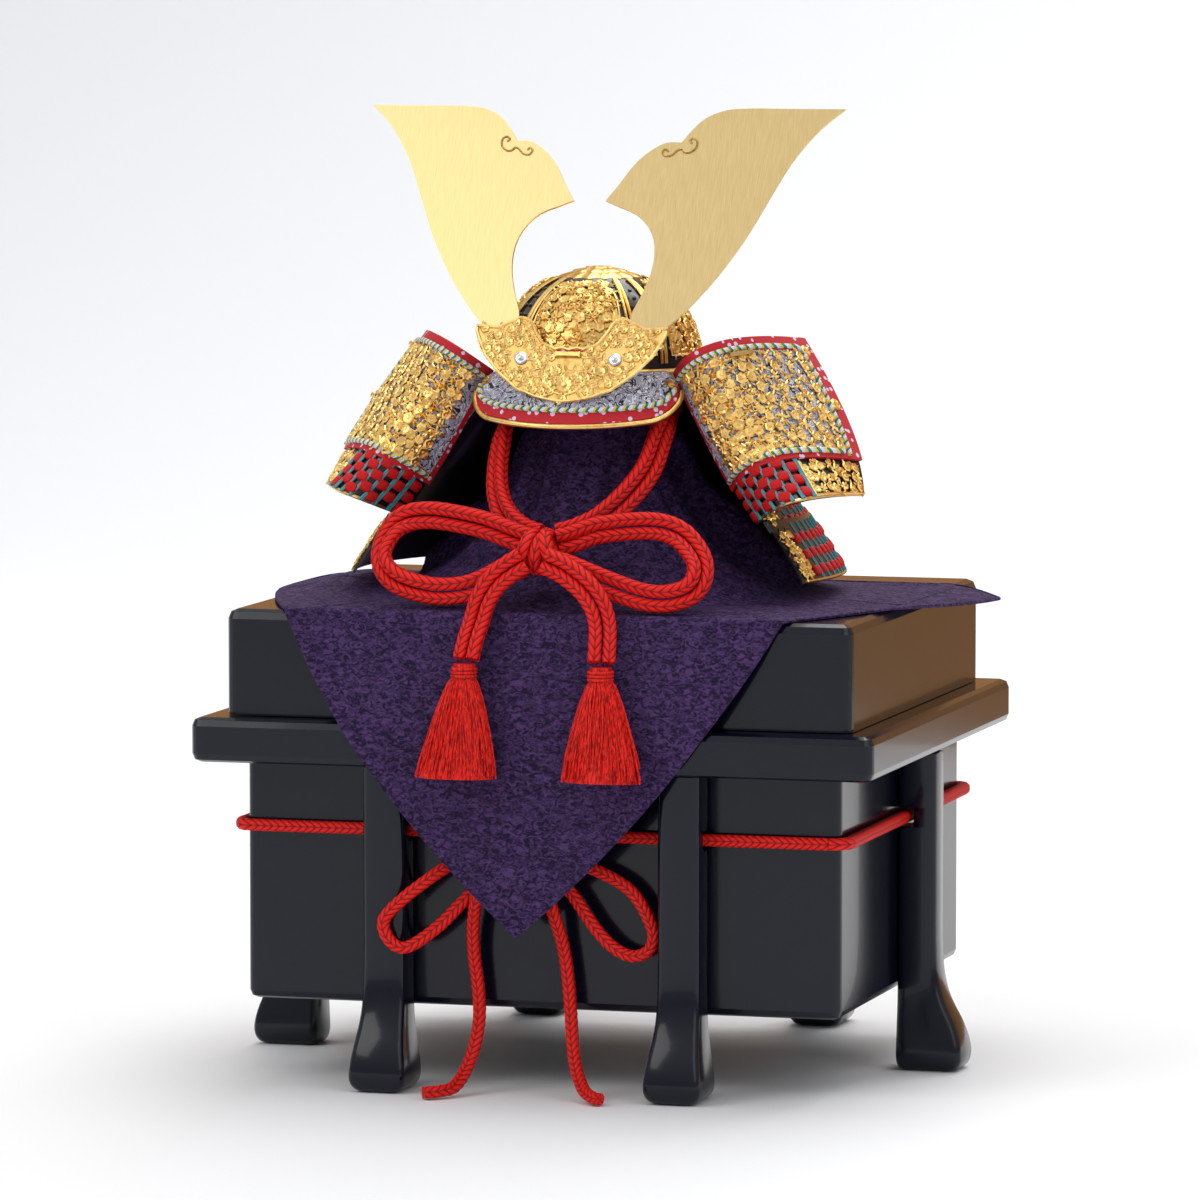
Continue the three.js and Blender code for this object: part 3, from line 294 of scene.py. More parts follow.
# Red rope and cords, braided of eight strands: a smooth line, a frame along it and
# a surface whose radius follows the chevrons of the braid.
def skin(rows, wrap=True, caps=True, scale=(1, 1)):
    """Points, faces and UVs of a surface through rows of points, UV along and round it."""
    across = len(rows[0])
    points = [p for row in rows for p in row]
    faces, uvs = [], []
    for i in range(len(rows) - 1):
        for j in range(across if wrap else across - 1):
            k = (j + 1) % across
            faces.append((i * across + j, i * across + k, (i + 1) * across + k, (i + 1) * across + j))
            u0, u1 = i * scale[0], (i + 1) * scale[0]
            v0, v1 = j * scale[1], (j + 1) * scale[1]
            uvs.append(((u0, v0), (u0, v1), (u1, v1), (u1, v0)))
    if caps:
        for row, last in ((0, False), (len(rows) - 1, True)):
            centre = sum((Vector(p) for p in rows[row]), Vector()) / across
            points.append(centre)
            for j in range(across):
                k = (j + 1) % across
                face = (row * across + j, row * across + k, len(points) - 1)
                faces.append(face if last else face[::-1])
                u = row * scale[0]
                uvs.append(((u, j * scale[1]), (u, (j + 1) * scale[1]), (u, j * scale[1])))
    return points, faces, uvs


def smooth_line(points, step):
    """Points step mm apart on a smooth line through the chosen ones."""
    dense = [Vector(p) for p in smooth_rows(points, 24 * (len(points) - 1))]
    total = sum((b - a).length for a, b in zip(dense, dense[1:]))
    count = max(4, round(total / step))
    line, walked, i = [dense[0]], 0.0, 0
    for n in range(1, count):
        while walked + (dense[i + 1] - dense[i]).length < n * total / count:
            walked += (dense[i + 1] - dense[i]).length
            i += 1
        share = (n * total / count - walked) / (dense[i + 1] - dense[i]).length
        line.append(dense[i].lerp(dense[i + 1], share))
    line.append(dense[-1])
    return line


def line_length(line):
    """Length in mm of a line of points."""
    return sum((b - a).length for a, b in zip(line, line[1:]))


def side_of(line, i, out):
    """Direction across the line at one point, square to it and to an outward direction."""
    along = (line[min(i + 1, len(line) - 1)] - line[max(i - 1, 0)]).normalized()
    return out.cross(along).normalized(), along


def braid(line, radius, pitch, outs, around=16, relief=0.11):
    """Skin of a round braid along a line, its chevrons facing the outward directions."""
    rows, walked = [], 0.0
    for i, point in enumerate(line):
        if i:
            walked += (point - line[i - 1]).length
        side, along = side_of(line, i, outs[i])
        out = along.cross(side)
        ring = []
        for j in range(around):
            v = j / around
            fold = 1 - abs((4 * v) % 2 - 1)
            height = abs(math.sin(math.pi * (walked / pitch + 1.5 * fold))) ** 0.6
            height *= abs(math.sin(4 * math.pi * v)) ** 0.3
            reach = radius * (1 - relief + relief * height)
            angle = 2 * math.pi * v
            ring.append(point + out * reach * math.cos(angle) + side * reach * math.sin(angle))
        rows.append(ring)
    return skin(rows, scale=(line_length(line) / (len(line) - 1) / pitch, 1 / around))


def braid_look(name, bright, gap_shade):
    """Braided cord: chevrons of strands from the UV, with fine threads in each; its colour is darker in the
    low parts between strands, a painted shade.
    """
    look, tree, shader, node = material(name, bright, 0.55)
    uv = node("ShaderNodeSeparateXYZ", {0: node("ShaderNodeTexCoord").outputs["UV"]})

    quarter = reckon(node, "MULTIPLY", uv.outputs[1], 4.0)
    fold = reckon(node, "PINGPONG", quarter, 1.0)
    phase = reckon(node, "ADD", uv.outputs[0], reckon(node, "MULTIPLY", fold, 1.5))
    strand = reckon(node, "ABSOLUTE", reckon(node, "SINE", reckon(node, "MULTIPLY", phase, math.pi)))
    column = reckon(node, "ABSOLUTE", reckon(node, "SINE", reckon(node, "MULTIPLY", quarter, math.pi)))
    strand, column = reckon(node, "POWER", strand, 0.6), reckon(node, "POWER", column, 0.35)
    across = reckon(node, "SUBTRACT", uv.outputs[0], fold)
    thread = reckon(node, "SINE", reckon(node, "MULTIPLY", across, 30.0))
    height = reckon(node, "MULTIPLY", strand, column)
    relief = reckon(node, "ADD", height, reckon(node, "MULTIPLY", thread, 0.05))
    # Colour follows the relief: the gap shade colour in the low parts between strands is a painted shade.
    shade = node("ShaderNodeMapRange", {"Value": relief, "From Min": 0.15, "From Max": 0.75})
    colour = mixed(node, shade.outputs[0], (*gap_shade, 1), (*bright, 1))
    tree.links.new(colour, shader.inputs["Base Color"])
    bumped(tree, shader, node, 0.7, 0.0006, relief)
    shader.inputs["Specular IOR Level"].default_value = 0.22
    return look


# Red cord, with a painted shade colour for the gaps between its strands.
red_braid = braid_look("red_braid", (0.8, 0.013, 0.008), (0.2, 0.001, 0.001))
rope_line = []
for corner_x, corner_y, first in ((1, -1, -90), (1, 1, 0), (-1, 1, 90), (-1, -1, 180)):
    for step in range(7):
        angle = math.radians(first + step * 15)
        rope_line.append((
            corner_x * 129.25 + 7.3 * math.cos(angle), corner_y * 105.1 + 7.3 * math.sin(angle), 112))
rope_line.append(rope_line[0])
rope_run = []
for a, b in zip(rope_line, rope_line[1:]):
    count = max(1, round((Vector(b) - Vector(a)).length / 0.8))
    rope_run += [Vector(a).lerp(Vector(b), n / count) for n in range(count)]
rope_run.append(Vector(rope_line[0]))
rope_outs = [
    Vector((0, math.copysign(1, p.y), 0)) if abs(p.y) > 108 else Vector((math.copysign(1, p.x), 0, 0))
    for p in rope_run]
chest_rope = solid("chest_rope_braided", [braid(rope_run, 2.98, 3.3, rope_outs, 12)], red_braid)
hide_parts("chest_rope")

# Rope knot in front, hidden by the cloth's tip, with two flat loops and two tails.
rope_routes = {
    "rope_bow_left": [
        (-7.6, -121.3, 101.6), (-20, -119.5, 102.5), (-33.8, -121, 100.2), (-49.3, -127.5, 89.6),
        (-61.6, -131, 78.4), (-64.1, -131.2, 71.8), (-60, -131.2, 64.8), (-53, -130.6, 63.6),
        (-41, -124.5, 72.4), (-26.4, -119.5, 87.4), (-14, -119.5, 92.6), (-8.4, -121, 93.4)],
    "rope_bow_right": [
        (5.6, -121.3, 101.6), (12, -119.5, 102), (23.2, -119, 99.8), (42.4, -118, 90.1),
        (52.2, -117.5, 74.5),
        (51.6, -117, 65), (44.4, -117, 61.2), (36, -117.5, 64.2), (27.5, -118, 72.5), (16.5, -119, 88),
        (10, -119.5, 92.8), (6.4, -121, 93.4)],
    "rope_tail_left": [
        (-9, -126, 92.2), (-16, -125.8, 91.5), (-23.5, -124.5, 85), (-26.4, -121.5, 75),
        (-27.2, -118.5, 60.7),
        (-25.6, -117.5, 45), (-24.9, -118.5, 31.6), (-26.2, -121.5, 20), (-28.3, -127.5, 10.5),
        (-30.6, -137, 4.6), (-35, -145, 3.4), (-40.8, -149.5, 3.3)],
    "rope_tail_right": [
        (6, -125.8, 90.6), (7.9, -125.2, 87), (9.7, -122.5, 79), (12, -118.5, 68), (13.7, -117.5, 58.7),
        (15.2, -117.5, 47), (16.4, -118.5, 34), (18.4, -122.5, 22), (22, -129, 12), (27.5, -137.5, 5.4),
        (33, -143.5, 3.4), (37.1, -147, 3.3)],
}


def knot_form(centre, half, wraps, radius, pitch):
    """Wrapped knot: a braided core and turns of the cord laid round it."""
    parts = []
    centre = Vector(centre)
    rows = []
    for i in range(13):
        rise = math.radians(-84 + i * 14)
        rows.append([centre + Vector((
            (half[0] - 2) * math.cos(rise) * math.cos(math.radians(j * 22.5)),
            (half[1] - 3) * math.cos(rise) * math.sin(math.radians(j * 22.5)),
            (half[2] - 2) * math.sin(rise))) for j in range(16)])
    parts.append(skin(rows, scale=(0.35, 1 / 16)))
    for shift, lean in wraps:
        turned = Matrix.Rotation(math.radians(lean), 3, "Y")
        line = []
        for n in range(61):
            angle = 2 * math.pi * n / 60
            line.append(centre + turned @ Vector((
                shift, (half[1] - radius) * math.cos(angle), (half[2] - radius) * math.sin(angle))))
        outs = [(p - centre).normalized() for p in line]
        parts.append(braid(line, radius, pitch, outs, 16))
    return parts


rope_knot_form = knot_form((-1, -122.9, 97), (9, 6.9, 9), ((-2.5, 12), (3, -14)), 2.4, 3.3)
rope_knot = solid("rope_knot_tied", rope_knot_form, red_braid)
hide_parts("rope_knot")
for name, points in rope_routes.items():
    line = smooth_line(points, 0.8)
    outs = [Vector((0, -1, 0.15)).normalized()] * len(line)
    rope = solid(name + "_braided", [braid(line, 2.98, 3.3, outs, 12)], red_braid)
    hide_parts(name)
    line_length(line) / 1000
    "knot" if "bow" in name else "bare"

# Plain turned post that carries the helmet, all of it under the cloth.
wood, tree, shader, node = material("post_wood", (0.45, 0.3, 0.17), 0.6)
place = node("ShaderNodeTexCoord")
rings_node = node("ShaderNodeTexWave", {"Vector": place.outputs["Object"], "Scale": 60, "Distortion": 3})
grain = mixed(node, rings_node.outputs[1], (0.4, 0.26, 0.14, 1), (0.52, 0.36, 0.21, 1))
tree.links.new(grain, shader.inputs["Base Color"])
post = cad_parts["stand_post"]
post.data.materials.clear()
post.data.materials.append(wood)

# Purple crepe cloth with a stitched hem, laid corner forwards over the post and the lid.
# Rings run from the post's head to the lid, then past the lid's edge to the hem.
post_y = -16
lid_top, lid_drop, ledge = 206.5, 50.1, 14.16
lid_half_width, lid_half_depth = 140.4, 118.15
ring_reach, rise_takes = 88.8, 97
side_droop = math.radians(9)
cloth_corners = [(-91, 339, 76), (28, 280, 80), (90, 262, 80), (158.5, 263, 69), (269, 339, 0)]
cloth_rings = [
    (0, 347.1), (16.14, 341.7), (27.3, 321.1), (27.3, 300), (27.8, 276.8), (34, 258), (43.6, 243.9),
    (63.2, 222.8), (ring_reach, 209.6)]
pleats = [(350, 0), (286, 0), (276, 12.5), (256, 15), (244, 24), (222, 27), (209, 3)]


def cloth_ray(turn):
    """Azimuth and length along one ray of the cut cloth."""
    side = min(3, int(turn))
    share = turn - side
    (a0, r0, span), (a1, r1, _) = cloth_corners[side], cloth_corners[side + 1]
    span = math.radians(span)
    reach = r0 * r1 * math.sin(span) / (r0 * math.sin(share * span) + r1 * math.sin((1 - share) * span))
    return math.radians(a0 + (a1 - a0) * share), reach


def cloth_point(azimuth, plan, rest):
    """Point of the laid cloth at a plan distance from the post's axis."""
    dx, dy = math.cos(azimuth), math.sin(azimuth)
    to_side = lid_half_width / max(abs(dx), 1e-6)
    to_front = (lid_half_depth - math.copysign(1, dy) * post_y) / max(abs(dy), 1e-6)
    edge = min(to_side, to_front)
    on_lid, past = min(plan, edge), max(0.0, plan - edge)
    x, y, z = dx * on_lid, post_y + dy * on_lid, lid_top + 0.35 + rest
    if to_side < to_front:
        x += past * dx * math.cos(side_droop)
        y += past * dy
        z -= past * abs(dx) * math.sin(side_droop) + 0.004 * past * past
    else:
        slope = math.hypot(ledge, lid_drop) / abs(dy)
        on_slope = min(past, slope) / slope
        x += past * dx
        y += math.copysign(on_slope * ledge, dy)
        z -= on_slope * lid_drop + max(0.0, past - slope) * abs(dy)
    return Vector((x, y, z)), edge


turns = 288
inner_rings = smooth_rows(cloth_rings, 48)
cloth_grid = []
for column in range(turns):
    turn = column / turns * 4
    azimuth, reach = cloth_ray(turn)
    hem = reach - rise_takes
    back = max(0.0, math.sin(azimuth))
    _, edge = cloth_point(azimuth, 0, 0)
    line = []
    for n, (radius, height) in enumerate(inner_rings):
        fade = min(1, max(0, (n - 8) / 8)) * min(1, (48 - n) / 6)
        crease = fade * (1 - back) * 1.4 * math.sin(18 * azimuth + 0.5 * math.sin(3 * azimuth))
        depth = 0.0
        for (high, more), (low, less) in zip(pleats, pleats[1:]):
            if low <= height <= high:
                depth = more + (less - more) * (high - height) / (high - low)
        crease += min(1, 4 * back) * depth * (0.5 - 0.5 * math.cos(16 * azimuth))
        reach = max(radius, 0.01) + crease
        line.append(Vector((reach * math.cos(azimuth), post_y + reach * math.sin(azimuth), height)))
    for n in range(1, 61):
        share = n / 60
        bend = 0.45
        if hem <= edge + 4:
            plan = ring_reach + (hem - ring_reach) * share
        elif share < bend:
            plan = ring_reach + (edge - ring_reach) * share / bend
        else:
            plan = edge + (hem - edge) * (share - bend) / (1 - bend)
        on_lid = min(1, (plan - ring_reach) / max(1, min(edge, hem) - ring_reach))
        swell = 1.5 * (0.5 + 0.5 * math.sin(6 * azimuth + 1))
        swell += 5 * math.exp(-((math.degrees(azimuth) - 172) / 24) ** 2)
        rest = 2.75 * (1 - on_lid) ** 2 + swell * math.sin(math.pi * on_lid) ** 2
        line.append(cloth_point(azimuth, plan, rest)[0])
    if hem > edge + 4:
        for softening in range(2):
            middle = [0.25 * a + 0.5 * b + 0.25 * c for a, b, c in zip(line[71:], line[72:], line[73:])]
            line[72:80] = middle[:8]
        for n in range(73, 79):
            forward = math.copysign(0.5, math.sin(azimuth)) if edge < 139 else 0
            line[n] += Vector((0, forward, 0.5))
    cloth_grid.append(line)
cloth_lines = list(zip(*cloth_grid))
cloth_normals = []
for i, row in enumerate(cloth_lines):
    normals = []
    for j in range(turns):
        along = cloth_lines[min(i + 1, len(cloth_lines) - 1)][j] - cloth_lines[max(i - 1, 0)][j]
        round_it = row[(j + 1) % turns] - row[j - 1]
        normal = round_it.cross(along)
        normals.append(-normal.normalized() if normal.length > 1e-9 else Vector((0, 0, 1)))
    cloth_normals.append(normals)
outer_rows, inner_rows = [], []
for i, row in enumerate(cloth_lines):
    thick = 0.9 + (0.5 if len(cloth_lines) - 4 < i < len(cloth_lines) - 1 else 0)
    outer_rows.append([p + n * thick for p, n in zip(row, cloth_normals[i])])
    inner_rows.append(list(row))
cloth_skin = skin(outer_rows + inner_rows[::-1], caps=False, scale=(1 / 20, 4 / turns))
crepe, tree, shader, node = material("crepe", (0.05, 0.02, 0.12), 0.85)
place = node("ShaderNodeTexCoord")
stretch = node("ShaderNodeMapping", {"Vector": place.outputs["Object"]})
stretch.inputs["Scale"].default_value = (0.8, 0.8, 1.25)
wrinkle = node("ShaderNodeTexNoise", {
    "Vector": stretch.outputs[0], "Scale": 430, "Detail": 3, "Distortion": 1.3})
# Colour follows the wrinkle relief: darker in its hollows, a painted shade, and lighter on its crests, a
# painted highlight.
tone = node("ShaderNodeMapRange", {"Value": wrinkle.outputs[0], "From Min": 0.4, "From Max": 0.64})
colour = mixed(node, tone.outputs[0], (0.012, 0.005, 0.03, 1), (0.078, 0.037, 0.13, 1))
tree.links.new(colour, shader.inputs["Base Color"])
bumped(tree, shader, node, 0.9, 0.0013, wrinkle.outputs[0])
shader.inputs["Specular IOR Level"].default_value = 0.2
cloth = solid("cloth_crepe", [cloth_skin], crepe)
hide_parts("cloth")

# Bowl: black lacquered dome with rows of dark nail heads between the gold plates.
# The rim stands 303 above the floor, over the post.
helmet_at = Matrix.Translation((0, post_y, 303))
bowl_radius, bowl_rise, bowl_foot, bowl_power = 44, 40.6, 7, 2 / 2.1


def dome_profile(rise, over=0.0):
    """Radius and height over the rim of the bowl at a rising angle in degrees."""
    rise = math.radians(min(rise, 89.9))
    radius = bowl_radius * math.cos(rise) ** bowl_power + over * math.cos(rise)
    return radius, bowl_foot + bowl_rise * math.sin(rise) ** bowl_power + over * math.sin(rise)


def dome(azimuth, rise, over=0.0):
    """Point over the bowl at an azimuth and a rising angle, in degrees."""
    radius, height = dome_profile(rise, over)
    turn = math.radians(azimuth)
    return helmet_at @ Vector((radius * math.cos(turn), radius * math.sin(turn), height))


def spun(profile, at, steps, closed=False):
    """Maker of a turned form: a profile of radius and height spun once round an axis."""
    def make(mesh_maker):
        earlier = set(mesh_maker.verts)
        line = [mesh_maker.verts.new((radius, 0, height)) for radius, height in profile]
        ahead = line[1:] + line[:1] if closed else line[1:]
        edges = [mesh_maker.edges.new(pair) for pair in zip(line, ahead)]
        bmesh.ops.spin(
            mesh_maker, geom=line + edges, cent=(0, 0, 0), axis=(0, 0, 1), angle=2 * math.pi,
            steps=steps, use_merge=True, use_duplicate=False)
        made = [vert for vert in mesh_maker.verts if vert not in earlier]
        rims = [edge for edge in mesh_maker.edges if edge.is_boundary and edge.verts[0] not in earlier]
        bmesh.ops.holes_fill(mesh_maker, edges=rims, sides=0)
        bmesh.ops.transform(mesh_maker, matrix=at, verts=made)

    return make


iron, tree, shader, node = material("black_iron", (0.012, 0.011, 0.011), 0.28, 0.3)
place = node("ShaderNodeTexCoord")
speck = node("ShaderNodeTexNoise", {"Vector": place.outputs["Object"], "Scale": 300})
bumped(tree, shader, node, 0.15, 0.0003, speck.outputs[0])
shader.inputs["Coat Weight"].default_value = 0.5
inside = [dome_profile(step, -1.4) for step in range(88, -1, -4)] + [(42.6, 3.5), (42.6, 0)]
outside = [(bowl_radius, 0), (bowl_radius, 3.5)] + [dome_profile(step) for step in range(0, 89, 4)]
bowl_parts = [spun(inside + outside, helmet_at, 96)]
for quarter in range(4):
    for column in (-5, 0, 5):
        for step in range(7):
            rise = 10 + step * 7.2
            squeeze = 1 / max(0.55, math.cos(math.radians(rise)))
            azimuth = quarter * 90 + 45 + column * squeeze * 0.9
            base = dome(azimuth, rise, -0.1)
            out = (dome(azimuth, rise, 1) - dome(azimuth, rise, 0)).normalized()
            side = out.cross(Vector((0, 0, 1))).normalized()
            nail_at = Matrix((side, side.cross(out), out)).transposed().to_4x4()
            nail_at.translation = base
            bowl_parts.append(spun(((1.0, 0), (0.9, 0.5), (0.5, 0.9)), nail_at, 8))
bowl = solid("bowl_lacquered", bowl_parts, iron)
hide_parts("bowl")


# Gold fittings: cast openwork of blossoms, leaves and curling vines, soldered where
# they cross, with the leather and the iron seen through the gaps.
def shared_group(name, inputs, outputs):
    """Node group with named sockets, a maker of its nodes and the node of its given values."""
    group = bpy.data.node_groups.new(name, "ShaderNodeTree")
    for way, sockets in (("INPUT", inputs), ("OUTPUT", outputs)):
        for label, kind in sockets:
            group.interface.new_socket(label, in_out=way, socket_type="NodeSocket" + kind)
    node = node_maker(group)
    return group, node, node("NodeGroupInput")


cast_grain, node, given = shared_group(
    "cast_grain", (("Scale", "Float"), ("Bright", "Color"), ("Deep", "Color")),
    (("Color", "Color"), ("Height", "Float")))
place = node("ShaderNodeTexCoord")
grain = node("ShaderNodeTexNoise", {
    "Vector": place.outputs["Object"], "Scale": given.outputs["Scale"], "Detail": 4})
# Colour follows the grain relief: darker in its hollows, a painted shade.
tone = node("ShaderNodeMapRange", {"Value": grain.outputs[0], "From Min": 0.3, "From Max": 0.5})
colour = mixed(node, tone.outputs[0], given.outputs["Deep"], given.outputs["Bright"])
node("NodeGroupOutput", {"Color": colour, "Height": grain.outputs[0]})


def gold_look(name, bright, hollow_shade, roughness, scale):
    """Plated casting, darker in the fine hollows of its grain, a painted shade."""
    look, tree, shader, node = material(name, bright, roughness, 1)
    grain = node("ShaderNodeGroup", {
        "Scale": scale, "Bright": (*bright, 1), "Deep": (*hollow_shade, 1)}, node_tree=cast_grain)
    tree.links.new(grain.outputs["Color"], shader.inputs["Base Color"])
    bumped(tree, shader, node, 0.16, 0.0003, grain.outputs["Height"])
    return look


gold = gold_look("cast_gold", (0.97, 0.65, 0.22), (0.76, 0.44, 0.11), 0.31, 320)
pale_gold = gold_look("pale_cast_gold", (0.9, 0.62, 0.23), (0.68, 0.42, 0.12), 0.32, 320)
# The ground plates are real, but their gold is darker than the castings over them, a painted shade in the
# gaps of the openwork.
shaded_ground_gold = gold_look("shaded_ground_gold", (0.82, 0.53, 0.17), (0.52, 0.3, 0.08), 0.38, 320)


def blossom(at, radius, height, petals=5):
    """Flower with rounded petals and a raised eye, on the frame given."""
    rows = []
    for share, lift in ((1, -0.3), (1, 0.15), (0.8, 0.75), (0.45, 0.62), (0.27, 0.45), (0.2, 1.0)):
        ring = []
        for j in range(3 * petals):
            angle = 2 * math.pi * j / (3 * petals)
            petal = abs(math.cos(petals * angle / 2))
            reach = radius * share * (1 - 0.3 * (1 - petal) * min(1, share * 1.3))
            rise = height * lift * (0.6 + 0.4 * petal if share > 0.4 else 1)
            ring.append(at @ Vector((reach * math.cos(angle), reach * math.sin(angle), rise)))
        rows.append(ring)
    return skin(rows)


def leaf(at, length, width, height):
    """Pointed leaf with a raised midrib."""
    rows = []
    for n in range(5):
        x = length * (n / 4 - 0.5)
        half = width / 2 * math.sin(math.pi * (n + 0.35) / 4.7)
        rise = height * (0.4 + 0.6 * math.sin(math.pi * n / 4))
        section = ((x, -half, 0.15), (x, 0, rise), (x, half, 0.15), (x, 0, -0.4))
        rows.append([at @ Vector(p) for p in section])
    return skin(rows)


def curl(at, size, thick, turns_round=1.35):
    """Vine that curls in on itself."""
    rows = []
    for n in range(11):
        angle = 2 * math.pi * turns_round * n / 10
        reach = size * (1 - 0.62 * n / 10)
        centre = Vector((reach * math.cos(angle), reach * math.sin(angle), 0.35))
        out = centre.normalized()
        rows.append([at @ (centre + out * thick * math.cos(a) + Vector((0, 0, thick * math.sin(a))))
                     for a in (0.3, 1.9, 3.5, 5.1)])
    return skin(rows)


def frame_at(surface, u, v, turn=0.0, over=0.0):
    """Frame on a surface: x turned in the surface, z out of it."""
    step = 1e-3
    point = surface(u, v)
    along = (surface(u + step, v) - surface(u - step, v)).normalized()
    across = surface(u, v + step) - surface(u, v - step)
    normal = along.cross(across).normalized()
    side = normal.cross(along)
    x = along * math.cos(turn) + side * math.sin(turn)
    y = normal.cross(x)
    made = Matrix((x, y, normal)).transposed().to_4x4()
    made.translation = point + normal * over
    return made


def laid(surface, start, end, count, over):
    """Points at even steps between two places on a surface, at a height over it."""
    (u0, v0), (u1, v1) = start, end
    return [
        frame_at(surface, u0 + (u1 - u0) * n / count, v0 + (v1 - v0) * n / count, 0, over).translation
        for n in range(count + 1)]


def curved_plate(surface, columns, rows, under, over, span=((0, 1), (0, 1))):
    """Closed plate between two heights over a surface, its UV from 0 to 1."""
    (u0, u1), (v0, v1) = span
    levels = [v0 + (v1 - v0) * j / rows for j in range(rows + 1)]
    layers = [
        [laid(surface, (u0, v), (u1, v), columns, height) for v in levels] for height in (under, over)]
    points = [p for layer in layers for row in layer for p in row]
    wide, size = columns + 1, (columns + 1) * (rows + 1)
    faces, uvs = [], []
    for layer in (0, 1):
        for j in range(rows):
            for i in range(columns):
                corners = [(i, j), (i + 1, j), (i + 1, j + 1), (i, j + 1)]
                if layer == 0:
                    corners.reverse()
                faces.append(tuple(layer * size + b * wide + a for a, b in corners))
                uvs.append([(a / columns, b / rows) for a, b in corners])
    rim_line = [(i, 0) for i in range(columns)] + [(columns, j) for j in range(rows)]
    rim_line += [(i, rows) for i in range(columns, 0, -1)] + [(0, j) for j in range(rows, 0, -1)]
    for (a, b), (c, d) in zip(rim_line, rim_line[1:] + rim_line[:1]):
        faces.append((b * wide + a, d * wide + c, size + d * wide + c, size + b * wide + a))
        start, end = (a / columns, b / rows), (c / columns, d / rows)
        uvs.append([start, end, end, start])
    return points, faces, uvs


def openwork(surface, span, over, pitch, seed, inside=None):
    """Parts of a cast openwork plate over a part of a surface."""
    picked = random.Random(seed)
    (u0, u1), (v0, v1) = span
    um, vm = (u0 + u1) / 2, (v0 + v1) / 2
    wide = line_length([surface(u0 + (u1 - u0) * n / 12, vm) for n in range(13)])
    high = line_length([surface(um, v0 + (v1 - v0) * n / 12) for n in range(13)])
    across, up = max(2, round(wide / pitch)), max(1, round(high / pitch / 0.9))
    parts = []
    for j in range(up):
        for i in range(across + j % 2):
            u = u0 + (u1 - u0) * (i + 0.5 - 0.5 * (j % 2) + picked.uniform(-0.14, 0.14)) / across
            v = v0 + (v1 - v0) * (j + 0.5 + picked.uniform(-0.14, 0.14)) / up
            u = min(max(u, u0 + 0.35 * (u1 - u0) / across), u1 - 0.35 * (u1 - u0) / across)
            if inside and not inside(u, v):
                continue
            turn = picked.uniform(0, 6.28)
            lift = over + picked.uniform(0, 0.5)
            flower = picked.random()
            if flower < 0.62:
                size = pitch * picked.uniform(0.42, 0.52)
                at = frame_at(surface, u, v, turn, lift + 0.3)
                parts.append(blossom(at, size, 0.3 * size, picked.choice((5, 5, 6))))
            else:
                for k in range(4):
                    at = frame_at(surface, u, v, turn + k * 1.57, lift)
                    at @= Matrix.Translation((pitch * 0.22, 0, 0))
                    parts.append(leaf(at, pitch * 0.52, pitch * 0.24, 0.17 * pitch))
            for k in range(2):
                at = frame_at(surface, u, v, turn + 0.7 + k * 2.4, over)
                at @= Matrix.Translation((pitch * 0.55, 0, 0))
                parts.append(leaf(at, pitch * 0.62, pitch * 0.2, 0.1 * pitch))
            at = frame_at(surface, u, v, turn + 5.2, over) @ Matrix.Translation((pitch * 0.56, 0, 0))
            parts.append(curl(at, pitch * 0.24, 0.06 * pitch))
    return parts


def bead(points, radius, sides=8, closed=False):
    """Plain round wire along points."""
    line = [Vector(p) for p in points]
    if closed:
        line.append(line[0])
    rows = []
    out = Vector((0, 0, 1))
    for i, point in enumerate(line):
        back = line[-2] if closed and i in (0, len(line) - 1) else line[max(i - 1, 0)]
        ahead = line[1] if closed and i == len(line) - 1 else line[min(i + 1, len(line) - 1)]
        along = (ahead - back).normalized()
        side = out.cross(along)
        side = side.normalized() if side.length > 0.05 else along.orthogonal().normalized()
        up = along.cross(side)
        out = up
        ring = []
        for j in range(sides):
            angle = 2 * math.pi * j / sides
            ring.append(point + side * radius * math.cos(angle) + up * radius * math.sin(angle))
        rows.append(ring)
    return skin(rows, scale=(line_length(line) / len(line) / (2 * radius), 1 / sides))


def rim_ring(radius, height, sides=72):
    """Level ring round the bowl's axis."""
    turns = [2 * math.pi * j / sides for j in range(sides)]
    return [helmet_at @ Vector((radius * math.cos(a), radius * math.sin(a), height)) for a in turns]


